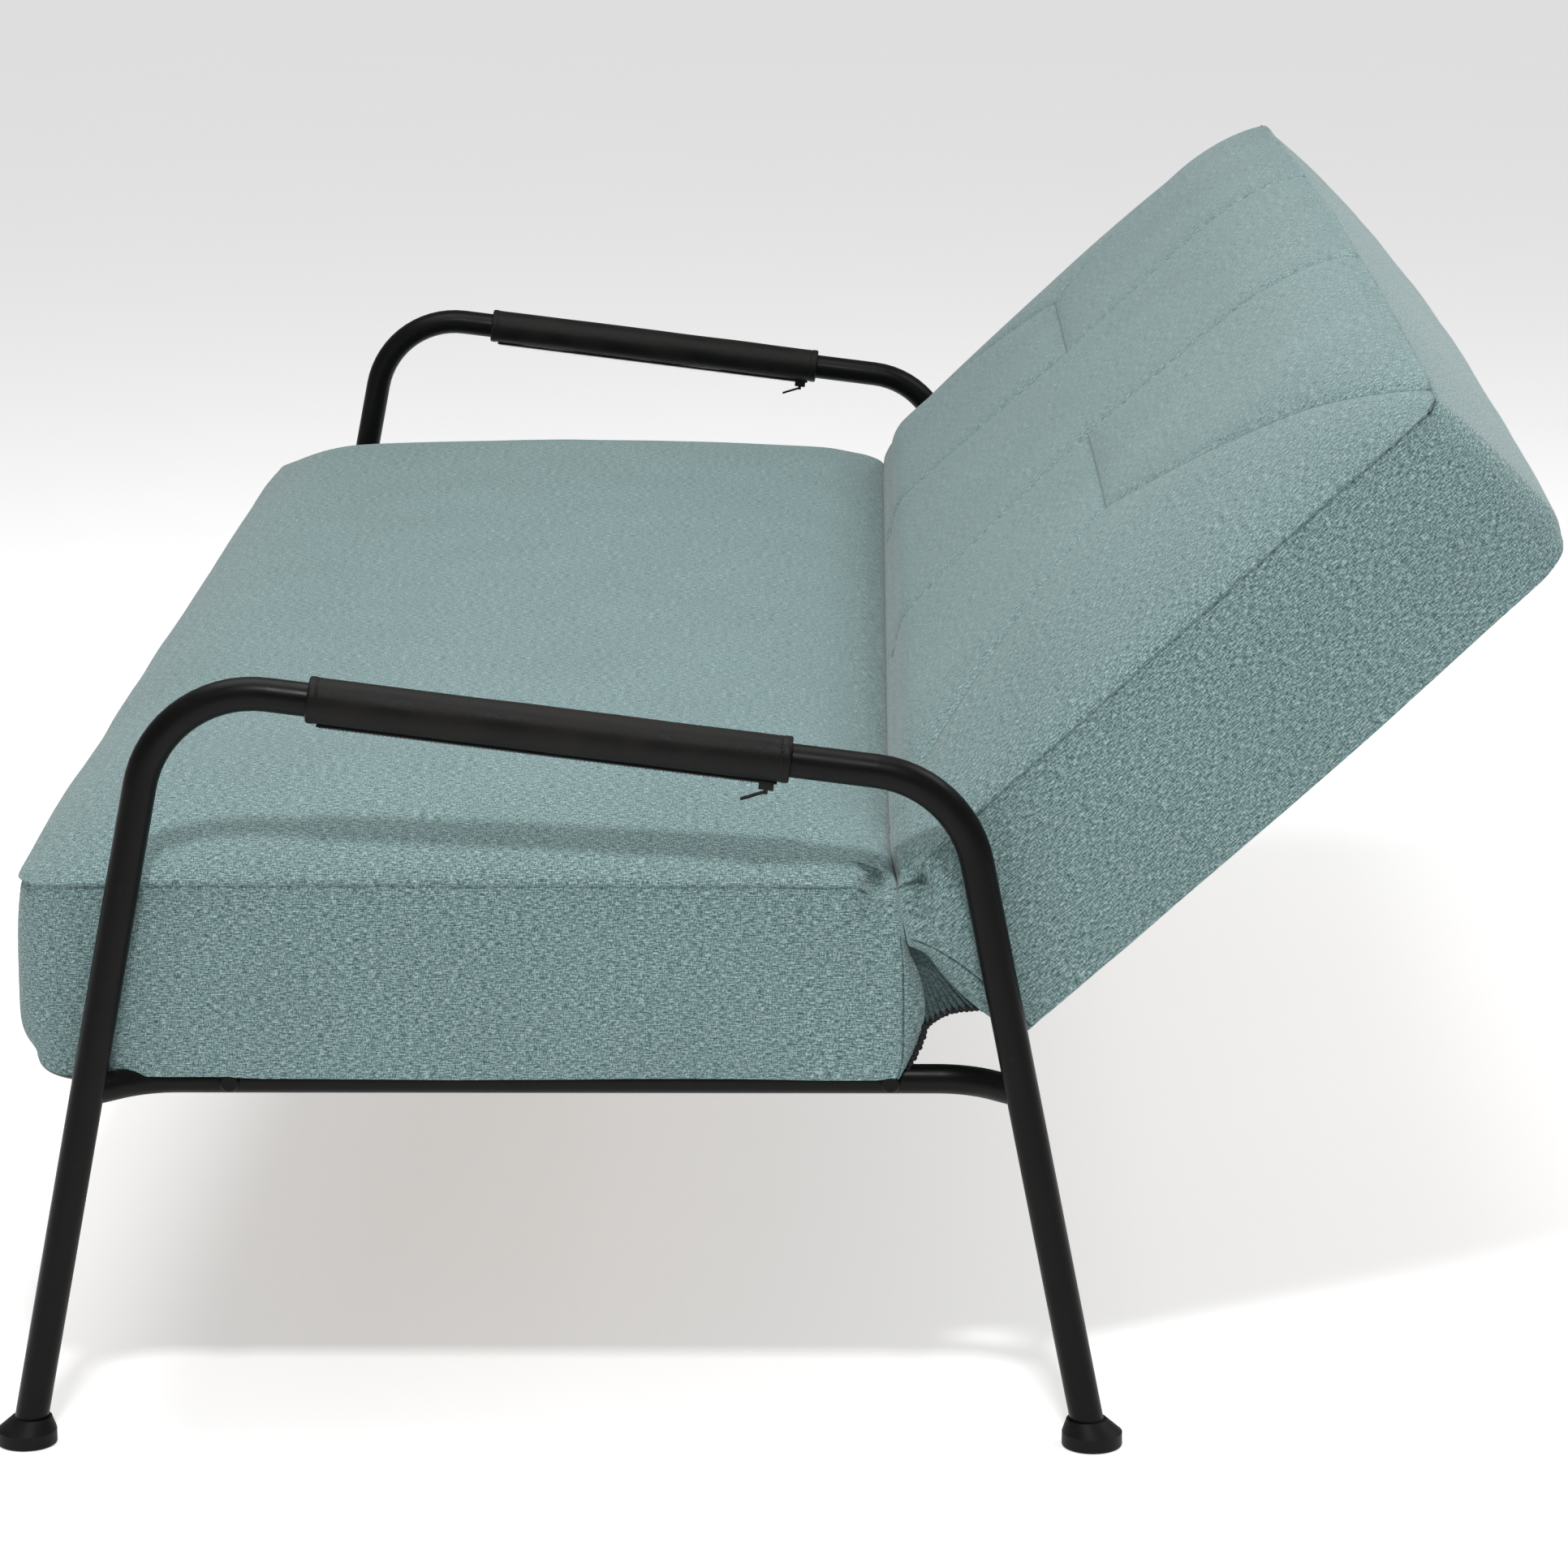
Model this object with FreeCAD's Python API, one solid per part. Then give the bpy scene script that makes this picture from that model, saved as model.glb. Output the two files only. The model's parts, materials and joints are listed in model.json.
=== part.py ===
import FreeCAD, Part
import math
import os

# Three-position click-clack futon sofa bed, in millimetres, shown in its middle (lounge) position.
# X runs along the width, -Y is the front, +Z is up. The model is built with y = 0 midway between the
# front and rear feet and z = 0 on the floor, then moved along Y so that its box is centred on y = 0.
# "Left" is the side at -X, "right" the side at +X.

os.makedirs("parts", exist_ok=True)

Vec = FreeCAD.Vector
X_AXIS = Vec(1, 0, 0)
Y_AXIS = Vec(0, 1, 0)
Z_AXIS = Vec(0, 0, 1)

# ---- arm frames: one bent tube a side ------------------------------------------------------------
ARM_SPREAD = 1957.5           # between the two arm tubes' centre planes
ARM_TUBE_RADIUS = 12.5
ARM_TUBE_WALL = 1.5
FOOT_SPREAD = 794.0           # front foot centre to rear foot centre
LEG_LEAN = 11.1               # degrees, each leg leans towards the middle as it rises
ARMREST_HEIGHT = 544.0        # tube centre, midway between the feet
ARMREST_SLOPE = 7.28          # degrees, lower towards the back
ARM_BEND_RADIUS = 85.0        # on the tube's centre line

# ---- foot caps -----------------------------------------------------------------------------------
FOOT_HEIGHT = 21.0
FOOT_BASE_HEIGHT = 11.0       # the cylindrical lower part
FOOT_BASE_RADIUS = 22.5
FOOT_NECK_RADIUS = 15.0
FOOT_SOLE = 5.0               # plastic left under the tube's end
FOOT_EDGE = 2.0               # rounding of the bottom edge

# ---- armrest sleeves and their zippers -----------------------------------------------------------
SLEEVE_LENGTH = 352.0
SLEEVE_RADIUS = 17.25
SLEEVE_CLEARANCE = 0.2
ZIP_TAPE_WIDTH = 9.0
ZIP_TAPE_THICK = 1.2
ZIP_COIL_WIDTH = 3.6
ZIP_COIL_HEIGHT = 1.8
ZIP_END_MARGIN = 8.0          # tape short of each sleeve end
SLIDER_LENGTH = 11.0
SLIDER_WIDTH = 7.6
SLIDER_HEIGHT = 4.6
SLIDER_CLEARANCE = 0.35       # round the tape and coil
PULL_LENGTH = 19.0
PULL_WIDTH = 5.0
PULL_THICK = 1.6
PULL_EYE_GAP = 0.3            # between the pull's eye and the slider
PULL_PIN_RADIUS = 0.8
PULL_PIN_CLEARANCE = 0.06
PULL_HANG = 24.0              # degrees below the sleeve, pointing forward

# ---- side rails ----------------------------------------------------------------------------------
RAIL_RADIUS = 11.0
RAIL_WALL = 1.5
RAIL_HEIGHT = 272.0           # tube centre above the floor
RAIL_INSET = 37.5             # straight run inboard of the arm tube's centre plane
RAIL_RUN_OUT = 38.6           # along Y, from the corner of the straight run to the leg's centre
RAIL_BEND_RADIUS = 60.0

# ---- the fold: hinge line and its travel ---------------------------------------------------------
PIVOT_SETBACK = 46.4          # hinge line in front of the rail's rear corner
PIVOT_Z = 400.0
REST_ANGLE = 42.5             # degrees, back above the horizontal in the lounge position
SOFA_ANGLE = 77.5             # the upright end of the travel, the flat end is 0

# ---- mattress halves, measured from the hinge line: d along the half, v square to it --------------
CUSHION_SIDE_GAP = 9.25       # cover to arm tube
SEAT_DEPTH = 660.0
BACK_LENGTH = 541.0
FOLD_GAP = 15.0               # between the two halves when flat
FOAM_GAP = 6.0                # between the slats' highest points and the foam
EDGE_SEAM = 15.0              # v of the seam round the top face
CROWN = 78.0
SHOULDER_WIDTH = 150.0        # over which the top rounds down to the seam, at the two ends
SHOULDER_DEPTH = 90.0         # the same, at the edge away from the fold
SHOULDER_HEIGHT = 64.0
FOLD_EDGE = -10.0             # v where the end face beside the fold starts to round
FOLD_ROUND_DEPTH = 11.0       # a point on that rounding
FOLD_ROUND_HEIGHT = 9.0
FOLD_SHOULDER_DEPTH = 58.0    # and where it meets the crown
FOLD_SHOULDER_HEIGHT = 46.0
COVER_THICK = 2.0
COVER_SKIRT = 7.0             # cover below the seat foam's underside

# ---- seat and back frames ------------------------------------------------------------------------
FRAME_RADIUS = 10.0
FRAME_WALL = 1.5
BACK_FRAME_LIFT = 11.0        # back frame above the seat frame, with the back flat
FRAME_END_INSET = 16.0        # tube centre inside the mattress's far edge
FRAME_CORNER_RADIUS = 45.0
SEAT_REAR_TUBE_D = 36.0       # tube centre lines beside the fold
BACK_LOWER_TUBE_D = 32.0
FRAME_TAIL = 14.0             # side tube beyond the tube beside the fold
WELD_GAP = 0.05               # between a coped tube end and the tube it is welded to

# ---- slats and their holders ---------------------------------------------------------------------
SLAT_COUNT = 8                # in each half
SLAT_WIDTH = 63.0
SLAT_THICK = 8.0
SLAT_RISE = 7.0               # bow at mid length
SLAT_EDGE_RUN = 166.25        # outermost slat's centre line to the back frame's side tube
HOLDER_WIDTH = 71.0
HOLDER_LENGTH = 42.0
HOLDER_WALL = 2.5
HOLDER_GAP = 0.2              # holder to frame tube and to slat

# ---- click-clack hinges --------------------------------------------------------------------------
PLATE_THICK = 4.0
WASHER_THICK = 1.0
PIVOT_PIN_RADIUS = 5.0
PIN_CLEARANCE = 0.05          # radial, running
PIVOT_EYE_RADIUS = 18.0
PLATE_LEG_HALF = 14.0         # half width of the fixed plate's leg
RIVET_HEAD_RADIUS = 9.0
RIVET_HEAD_THICK = 3.0
SLOT_CENTRE_RADIUS = 52.0     # of the arc slot about the pivot
STOP_RIVET_RADIUS = 4.0
SLOT_CLEARANCE = 0.3
SECTOR_RADIUS = 68.0
NOTCH_RADIUS = 4.0            # the three notches in the sector's rim
PAWL_PIVOT_RADIUS = 90.0      # pawl's rivet, from the pivot
PAWL_EYE_RADIUS = 8.0
PAWL_NOSE_RADIUS = 3.0
PAWL_NOSE_GAP = 0.6           # nose to rim
PAWL_RIVET_RADIUS = 3.0
ARM_FOOT_D = 62.0             # middle of the back arm's foot on the frame tube
ARM_FOOT_HALF = 40.0
HINGE_BOLT_SETBACK = 58.0     # hinge bolt in front of the rail's rear corner
SEAT_BOLT_D = 500.7           # seat bolt in front of the hinge line
SLIDER_END_GAP = 2.0          # slider short of the tape's rear end
LUG_THICK = 1.0
LUG_GAP = 0.2                 # between each lug and the pull
PLAY = 0.2                    # of a rivet's head over the plates it holds

# ---- bolts, nuts and brackets --------------------------------------------------------------------
BOLT_RADIUS = 4.0
BOLT_CLEARANCE = 0.2
BOLT_HEAD_RADIUS = 7.5
BOLT_HEAD_THICK = 4.0
NUT_ACROSS = 13.0
NUT_THICK = 6.5
BRACKET_LENGTH = 46.0
BRACKET_HEIGHT = 26.0

# ---- worked out from the above -------------------------------------------------------------------
ARM_X = ARM_SPREAD / 2
CUSHION_HALF_WIDTH = ARM_X - ARM_TUBE_RADIUS - CUSHION_SIDE_GAP
LEG_SLOPE = math.tan(math.radians(LEG_LEAN))
REST_SLOPE = math.tan(math.radians(ARMREST_SLOPE))
RAIL_X = ARM_X - RAIL_INSET
RAIL_CORNER_Y = FOOT_SPREAD / 2 - LEG_SLOPE * RAIL_HEIGHT - RAIL_RUN_OUT
PIVOT_Y = RAIL_CORNER_Y - PIVOT_SETBACK
HINGE_BOLT_Y = RAIL_CORNER_Y - HINGE_BOLT_SETBACK
SEAT_BOLT_Y = PIVOT_Y - SEAT_BOLT_D
FRAME_V = RAIL_HEIGHT - PIVOT_Z                       # frame tubes' centres, level with the rails
PLATE_X = RAIL_X - RAIL_RADIUS - PLATE_THICK          # inner face of the hinge's fixed plate
WASHER_X = PLATE_X - WASHER_THICK
BACK_ARM_X = WASHER_X - PLATE_THICK                   # inner face of the back arm
SEAT_SIDE_X = PLATE_X - FRAME_RADIUS                  # side tube's centre, seat
BACK_SIDE_X = BACK_ARM_X - FRAME_RADIUS               # side tube's centre, back
HINGE_POCKET = SECTOR_RADIUS + 8.0                    # back foam left out round each hinge
EYE_POCKET = PIVOT_EYE_RADIUS + 8.0                   # the same in the seat foam and in the cover
BACK_FRAME_V = FRAME_V + BACK_FRAME_LIFT
ARM_FOOT_ANGLE = math.degrees(math.atan2(BACK_FRAME_V, ARM_FOOT_D))
SLAT_PITCH = (BACK_SIDE_X - FRAME_RADIUS - SLAT_EDGE_RUN) / ((SLAT_COUNT - 1) / 2)

pieces = {}


def pivot_point(d, v, sign):
    """Point at distance d from the hinge line and height v, on the seat (-1) or on the flat back (+1)."""
    return Vec(0, PIVOT_Y + sign * d, PIVOT_Z + v)


def frame_level(sign):
    """Height of a half's tube centres, and of the underside of its slats' ends, from the hinge line."""
    return FRAME_V if sign < 0 else BACK_FRAME_V


def foam_bottom(sign):
    """Height of a half's foam underside."""
    return frame_level(sign) + SLAT_THICK + SLAT_RISE + FOAM_GAP


def polar(radius, angle):
    """Point in the hinge's plane, angle in degrees above the horizontal towards the back."""
    turn = math.radians(angle)
    return Vec(0, PIVOT_Y + radius * math.cos(turn), PIVOT_Z + radius * math.sin(turn))


def recline(shape):
    """Turns a back piece, modelled flat, up to the lounge position."""
    shape.rotate(Vec(0, PIVOT_Y, PIVOT_Z), X_AXIS, REST_ANGLE)
    return shape


def at_x(point, x):
    return Vec(x, point.y, point.z)


def mirrored(shape):
    return shape.mirror(Vec(0, 0, 0), X_AXIS)


def both_sides(name, shape):
    """Keeps a piece of the right side, and its mirror image for the left."""
    pieces["right_" + name] = shape
    pieces["left_" + name] = mirrored(shape)


def pair(shape):
    """A right-hand piece and its mirror image, as two separate solids of one node."""
    return Part.makeCompound([shape, mirrored(shape)])


def bent_path(points, radius):
    """Straight runs through points, joined by tangent arcs of the given radius."""
    edges = []
    start = points[0]
    for before, corner, after in zip(points, points[1:], points[2:]):
        way_in = (corner - before).normalize()
        way_out = (after - corner).normalize()
        turn = way_in.getAngle(way_out)
        setback = radius * math.tan(turn / 2)
        arc_start = corner - way_in * setback
        arc_end = corner + way_out * setback
        inward = (way_out - way_in).normalize()
        centre = corner + inward * (radius / math.cos(turn / 2))
        middle = centre - inward * radius
        edges.append(Part.LineSegment(start, arc_start).toShape())
        edges.append(Part.Arc(arc_start, middle, arc_end).toShape())
        start = arc_end
    edges.append(Part.LineSegment(start, points[-1]).toShape())
    return Part.Wire(edges)


def swept(path, radius):
    """Round bar along a path of lines and tangent arcs."""
    first = path.OrderedEdges[0]
    start = first.valueAt(first.FirstParameter)
    along = first.tangentAt(first.FirstParameter)
    disc = Part.Face(Part.Wire(Part.Circle(start, along, radius).toShape()))
    return path.makePipe(disc)


def tube(path, radius, wall):
    return swept(path, radius).cut(swept(path, radius - wall))


def straight_bar(start, end, radius):
    return Part.makeCylinder(radius, (end - start).Length, start, end - start)


def straight_tube(start, end, radius, wall):
    return straight_bar(start, end, radius).cut(straight_bar(start, end, radius - wall))


def plate(outline_points, x, thick):
    """Flat plate in the hinge's plane, its inner face at x, its straight-edged outline given in Y and Z."""
    closed = [at_x(p, x) for p in outline_points]
    face = Part.Face(Part.makePolygon(closed + closed[:1]))
    return face.extrude(Vec(thick, 0, 0))


def round_plate(centre, radius, x, thick):
    return Part.makeCylinder(radius, thick, at_x(centre, x), X_AXIS)


def bar_plate(start, end, half_width, x, thick):
    """Flat plate with round ends from one centre to another."""
    along = (end - start).normalize()
    side = Vec(0, -along.z, along.y) * half_width
    body = plate([start + side, end + side, end - side, start - side], x, thick)
    ends = [round_plate(centre, half_width, x, thick) for centre in (start, end)]
    return body.multiFuse(ends)


# ---- arm frames ----------------------------------------------------------------------------------


def arm_corner(side):
    """Where the leg's line meets the armrest's line, at the front (-1) or at the back (+1)."""
    leg_top = (FOOT_SPREAD / 2 - LEG_SLOPE * ARMREST_HEIGHT) / (1 - side * LEG_SLOPE * REST_SLOPE)
    return Vec(ARM_X, side * leg_top, ARMREST_HEIGHT - side * leg_top * REST_SLOPE)


def leg_point(side, height):
    """Point on a leg's centre line at a height."""
    return Vec(ARM_X, side * (FOOT_SPREAD / 2 - LEG_SLOPE * height), height)


def armrest_point(along):
    """Point on the armrest's centre line, along it from midway between the feet."""
    slope = math.radians(ARMREST_SLOPE)
    return Vec(ARM_X, along * math.cos(slope), ARMREST_HEIGHT - along * math.sin(slope))


arm_path = bent_path(
    [leg_point(-1, FOOT_SOLE), arm_corner(-1), arm_corner(1), leg_point(1, FOOT_SOLE)],
    ARM_BEND_RADIUS,
)
arm_bar = swept(arm_path, ARM_TUBE_RADIUS)
both_sides("arm_tube", tube(arm_path, ARM_TUBE_RADIUS, ARM_TUBE_WALL))


def foot_cap(side):
    """Flared cap on a leg's end, with a socket along the leg."""
    floor_point = leg_point(side, 0)
    base = Part.makeCylinder(FOOT_BASE_RADIUS, FOOT_BASE_HEIGHT, floor_point)
    base = base.makeFillet(FOOT_EDGE, [edge for edge in base.Edges if edge.BoundBox.ZMax < 0.01])
    rings = [
        Part.Wire(Part.Circle(centre, Z_AXIS, radius).toShape())
        for centre, radius in (
            (floor_point + Z_AXIS * FOOT_BASE_HEIGHT, FOOT_BASE_RADIUS),
            (leg_point(side, FOOT_HEIGHT), FOOT_NECK_RADIUS),
        )
    ]
    cone = Part.makeLoft(rings, True)
    return base.fuse(cone).cut(arm_bar)


both_sides("front_foot_cap", foot_cap(-1))
both_sides("rear_foot_cap", foot_cap(1))


# ---- armrest sleeves and zippers -----------------------------------------------------------------

sleeve_start = armrest_point(-SLEEVE_LENGTH / 2)
sleeve_end = armrest_point(SLEEVE_LENGTH / 2)
armrest_way = (sleeve_end - sleeve_start).normalize()
armrest_down = Vec(0, armrest_way.z, -armrest_way.y)
sleeve_bore = ARM_TUBE_RADIUS + SLEEVE_CLEARANCE
both_sides("arm_sleeve", straight_tube(sleeve_start, sleeve_end, SLEEVE_RADIUS, SLEEVE_RADIUS - sleeve_bore))


def under_sleeve(along, across, down, length, width, height):
    """Block under the sleeve: from a place along it and a depth below its surface."""
    corner = armrest_point(along) + armrest_down * (SLEEVE_RADIUS + down)
    block = Part.makeBox(width, length, height)
    placement = FreeCAD.Placement(
        corner,
        FreeCAD.Rotation(X_AXIS, armrest_way, armrest_down * -1, "XYZ"),
    )
    block.translate(Vec(across - width / 2, 0, -height))
    block.Placement = placement.multiply(block.Placement)
    return block


zip_length = SLEEVE_LENGTH - 2 * ZIP_END_MARGIN
zip_start = -SLEEVE_LENGTH / 2 + ZIP_END_MARGIN
zip_tape = under_sleeve(zip_start, 0, 0, zip_length, ZIP_TAPE_WIDTH, ZIP_TAPE_THICK)
zip_coil = under_sleeve(zip_start, 0, ZIP_TAPE_THICK, zip_length, ZIP_COIL_WIDTH, ZIP_COIL_HEIGHT)
both_sides("sleeve_zip", zip_tape.fuse(zip_coil))

slider_along = zip_start + zip_length - SLIDER_LENGTH - SLIDER_END_GAP
slider_down = ZIP_TAPE_THICK + SLIDER_CLEARANCE
slider_body = under_sleeve(slider_along, 0, slider_down, SLIDER_LENGTH, SLIDER_WIDTH, SLIDER_HEIGHT)
slider_channel = under_sleeve(
    slider_along - 1.0,
    0,
    0,
    SLIDER_LENGTH + 2.0,
    ZIP_COIL_WIDTH + 2 * SLIDER_CLEARANCE,
    ZIP_TAPE_THICK + ZIP_COIL_HEIGHT + SLIDER_CLEARANCE,
)
pull_pin_down = slider_down + SLIDER_HEIGHT + PULL_THICK + PULL_EYE_GAP
pull_pin_centre = armrest_point(slider_along + SLIDER_LENGTH / 2)
pull_pin_centre = pull_pin_centre + armrest_down * (SLEEVE_RADIUS + pull_pin_down)
lug_inner = PULL_WIDTH / 2 + LUG_GAP
lug_outer = lug_inner + LUG_THICK
slider_lugs = [
    under_sleeve(
        slider_along + SLIDER_LENGTH / 2 - 1.6,
        side * (lug_inner + lug_outer) / 2,
        slider_down + SLIDER_HEIGHT - 0.5,
        3.2,
        LUG_THICK,
        3.7,
    )
    for side in (-1, 1)
]
pull_pin = Part.makeCylinder(
    PULL_PIN_RADIUS,
    2 * lug_outer,
    pull_pin_centre - X_AXIS * lug_outer,
    X_AXIS,
)
both_sides("zip_slider", slider_body.cut(slider_channel).multiFuse(slider_lugs + [pull_pin]))


def zip_pull():
    """Tab that swings on the slider's pin."""
    eye_radius = PULL_THICK
    eye_start = pull_pin_centre - X_AXIS * (PULL_WIDTH / 2)
    eye = Part.makeCylinder(eye_radius, PULL_WIDTH, eye_start, X_AXIS)
    tab = Part.makeBox(
        PULL_WIDTH,
        PULL_LENGTH,
        PULL_THICK,
        eye_start - Y_AXIS * PULL_LENGTH - Z_AXIS * (PULL_THICK / 2),
    )
    bore_radius = PULL_PIN_RADIUS + PULL_PIN_CLEARANCE
    bore = Part.makeCylinder(bore_radius, PULL_WIDTH, eye_start, X_AXIS)
    pull = eye.fuse(tab).cut(bore)
    pull.rotate(pull_pin_centre, X_AXIS, PULL_HANG - ARMREST_SLOPE)
    return pull


both_sides("zip_pull", zip_pull())


# ---- side rails ----------------------------------------------------------------------------------

rail_height = Z_AXIS * RAIL_HEIGHT
rail_path = bent_path(
    [
        leg_point(-1, RAIL_HEIGHT),
        Vec(RAIL_X, -RAIL_CORNER_Y, RAIL_HEIGHT),
        Vec(RAIL_X, RAIL_CORNER_Y, RAIL_HEIGHT),
        leg_point(1, RAIL_HEIGHT),
    ],
    RAIL_BEND_RADIUS,
)


def cross_hole(y, radius):
    """Bolt-sized bar across the rail, hinge plate and seat frame at a place along the rail."""
    inner = SEAT_SIDE_X - 2 * FRAME_RADIUS
    return straight_bar(Vec(inner, y, RAIL_HEIGHT), Vec(ARM_X, y, RAIL_HEIGHT), radius)


bolt_holes = [cross_hole(y, BOLT_RADIUS + BOLT_CLEARANCE) for y in (SEAT_BOLT_Y, HINGE_BOLT_Y)]
rail = tube(rail_path, RAIL_RADIUS, RAIL_WALL).cut([arm_bar] + bolt_holes)
both_sides("side_rail", rail)


def bolt(y, grip):
    """Round-headed bolt from outside the rail, its shank as long as what it grips and the nut."""
    head_x = RAIL_X + RAIL_RADIUS
    end_x = head_x - grip - NUT_THICK - 2.0
    shank = straight_bar(Vec(end_x, y, RAIL_HEIGHT), Vec(head_x, y, RAIL_HEIGHT), BOLT_RADIUS)
    head = Part.makeCylinder(BOLT_HEAD_RADIUS, BOLT_HEAD_THICK, Vec(head_x, y, RAIL_HEIGHT), X_AXIS)
    head = head.makeFillet(
        BOLT_HEAD_THICK * 0.7,
        [edge for edge in head.Edges if edge.BoundBox.XMin > head_x + BOLT_HEAD_THICK - 0.01],
    )
    return shank.fuse(head)


def nut(y, grip):
    """Hexagon nut on a bolt's inner end."""
    face_x = RAIL_X + RAIL_RADIUS - grip
    corner_radius = NUT_ACROSS / math.sqrt(3)
    corners = [
        Vec(
            face_x,
            y + corner_radius * math.cos(math.radians(60 * step)),
            RAIL_HEIGHT + corner_radius * math.sin(math.radians(60 * step)),
        )
        for step in range(6)
    ]
    hexagon = Part.Face(Part.makePolygon(corners + corners[:1]))
    body = hexagon.extrude(Vec(-NUT_THICK, 0, 0))
    return body.cut(cross_hole(y, BOLT_RADIUS))


seat_grip = 2 * RAIL_RADIUS + PLATE_THICK + 2 * FRAME_RADIUS
hinge_grip = 2 * RAIL_RADIUS + PLATE_THICK
bolt_places = [(SEAT_BOLT_Y, seat_grip), (HINGE_BOLT_Y, hinge_grip)]
pieces["rail_bolts"] = Part.makeCompound([pair(bolt(y, grip)) for y, grip in bolt_places])
pieces["rail_nuts"] = Part.makeCompound([pair(nut(y, grip)) for y, grip in bolt_places])

bracket = Part.makeBox(
    PLATE_THICK,
    BRACKET_LENGTH,
    BRACKET_HEIGHT,
    Vec(PLATE_X, SEAT_BOLT_Y - BRACKET_LENGTH / 2, RAIL_HEIGHT - BRACKET_HEIGHT / 2),
)
pieces["seat_brackets"] = pair(bracket.cut(bolt_holes))


# ---- click-clack hinges --------------------------------------------------------------------------

pivot_centre = pivot_point(0, 0, 1)
notch_angles = [ARM_FOOT_ANGLE + lift for lift in (0, REST_ANGLE, SOFA_ANGLE)]
hinge_bolt_centre = Vec(0, HINGE_BOLT_Y, RAIL_HEIGHT)


def ring_sector(inner, outer, start_angle, end_angle, x, thick):
    """Part of a flat ring about the hinge line, between two angles in degrees."""
    middle_angle = (start_angle + end_angle) / 2
    outer_arc = Part.Arc(*[at_x(polar(outer, a), x) for a in (start_angle, middle_angle, end_angle)])
    inner_arc = Part.Arc(*[at_x(polar(inner, a), x) for a in (end_angle, middle_angle, start_angle)])
    first_side = Part.LineSegment(outer_arc.EndPoint, inner_arc.StartPoint)
    last_side = Part.LineSegment(inner_arc.EndPoint, outer_arc.StartPoint)
    outline = Part.Wire([part.toShape() for part in (outer_arc, first_side, inner_arc, last_side)])
    return Part.Face(outline).extrude(Vec(thick, 0, 0))


def fixed_plate():
    """Plate bolted to the rail: leg, pivot eye, and a sector with the arc slot and three notches."""
    slot_half = STOP_RIVET_RADIUS + SLOT_CLEARANCE
    margin = 12.0
    leg = bar_plate(hinge_bolt_centre, pivot_centre, PLATE_LEG_HALF, PLATE_X, PLATE_THICK)
    eye = round_plate(pivot_centre, PIVOT_EYE_RADIUS, PLATE_X, PLATE_THICK)
    sector = ring_sector(
        PIVOT_EYE_RADIUS / 2,
        SECTOR_RADIUS,
        notch_angles[0] - margin,
        notch_angles[-1] + margin,
        PLATE_X,
        PLATE_THICK,
    )
    slot = ring_sector(
        SLOT_CENTRE_RADIUS - slot_half,
        SLOT_CENTRE_RADIUS + slot_half,
        notch_angles[0],
        notch_angles[-1],
        PLATE_X,
        PLATE_THICK,
    )
    slot_ends = [
        round_plate(polar(SLOT_CENTRE_RADIUS, angle), slot_half, PLATE_X, PLATE_THICK)
        for angle in (notch_angles[0], notch_angles[-1])
    ]
    notches = [
        round_plate(polar(SECTOR_RADIUS + 1.0, angle), NOTCH_RADIUS, PLATE_X, PLATE_THICK)
        for angle in notch_angles
    ]
    pivot_bore = round_plate(pivot_centre, PIVOT_PIN_RADIUS + PIN_CLEARANCE, PLATE_X, PLATE_THICK)
    return leg.multiFuse([eye, sector]).cut([slot, pivot_bore] + slot_ends + notches + bolt_holes)


def back_arm():
    """Plate welded to the back frame's side tube, with the bores of the pivot, stop and pawl rivets."""
    foot_centre = pivot_point(ARM_FOOT_D, BACK_FRAME_V, 1)
    foot = plate(
        [
            foot_centre + Vec(0, -ARM_FOOT_HALF, -FRAME_RADIUS),
            foot_centre + Vec(0, ARM_FOOT_HALF, -FRAME_RADIUS),
            foot_centre + Vec(0, ARM_FOOT_HALF, FRAME_RADIUS),
            foot_centre + Vec(0, -ARM_FOOT_HALF, FRAME_RADIUS),
        ],
        BACK_ARM_X,
        PLATE_THICK,
    )
    blade = bar_plate(pivot_centre, foot_centre, PLATE_LEG_HALF, BACK_ARM_X, PLATE_THICK)
    below = foot_centre.z - FRAME_RADIUS
    trim = Part.makeBox(PLATE_THICK, 400, 100, Vec(BACK_ARM_X, foot_centre.y - 200, below - 100))
    bores = [
        round_plate(pivot_centre, PIVOT_PIN_RADIUS + PIN_CLEARANCE, BACK_ARM_X, PLATE_THICK),
        round_plate(stop_centre, STOP_RIVET_RADIUS, BACK_ARM_X, PLATE_THICK),
        round_plate(pawl_centre, PAWL_RIVET_RADIUS, BACK_ARM_X, PLATE_THICK),
    ]
    return foot.fuse(blade).cut([trim] + bores)


def rivet(centre, radius, inner_x, outer_x, head_radius):
    """Shank between two faces, with a head outside each of them."""
    shank = round_plate(centre, radius, inner_x, outer_x - inner_x)
    inner_head = round_plate(centre, head_radius, inner_x - RIVET_HEAD_THICK, RIVET_HEAD_THICK)
    outer_head = round_plate(centre, head_radius, outer_x, RIVET_HEAD_THICK)
    return shank.multiFuse([inner_head, outer_head])


def pawl():
    """Rocking pawl: eye on its rivet, nose pointing at the hinge line, just clear of the sector's rim."""
    nose_centre = polar(SECTOR_RADIUS + PAWL_NOSE_GAP + PAWL_NOSE_RADIUS, ARM_FOOT_ANGLE)
    eye = round_plate(pawl_centre, PAWL_EYE_RADIUS, PLATE_X, PLATE_THICK)
    nose = bar_plate(pawl_centre, nose_centre, PAWL_NOSE_RADIUS, PLATE_X, PLATE_THICK)
    bore = round_plate(pawl_centre, PAWL_RIVET_RADIUS + PIN_CLEARANCE, PLATE_X, PLATE_THICK)
    return eye.fuse(nose).cut(bore)


stop_centre = polar(SLOT_CENTRE_RADIUS, ARM_FOOT_ANGLE)
pawl_centre = polar(PAWL_PIVOT_RADIUS, ARM_FOOT_ANGLE)
outer_face_x = PLATE_X + PLATE_THICK

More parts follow.
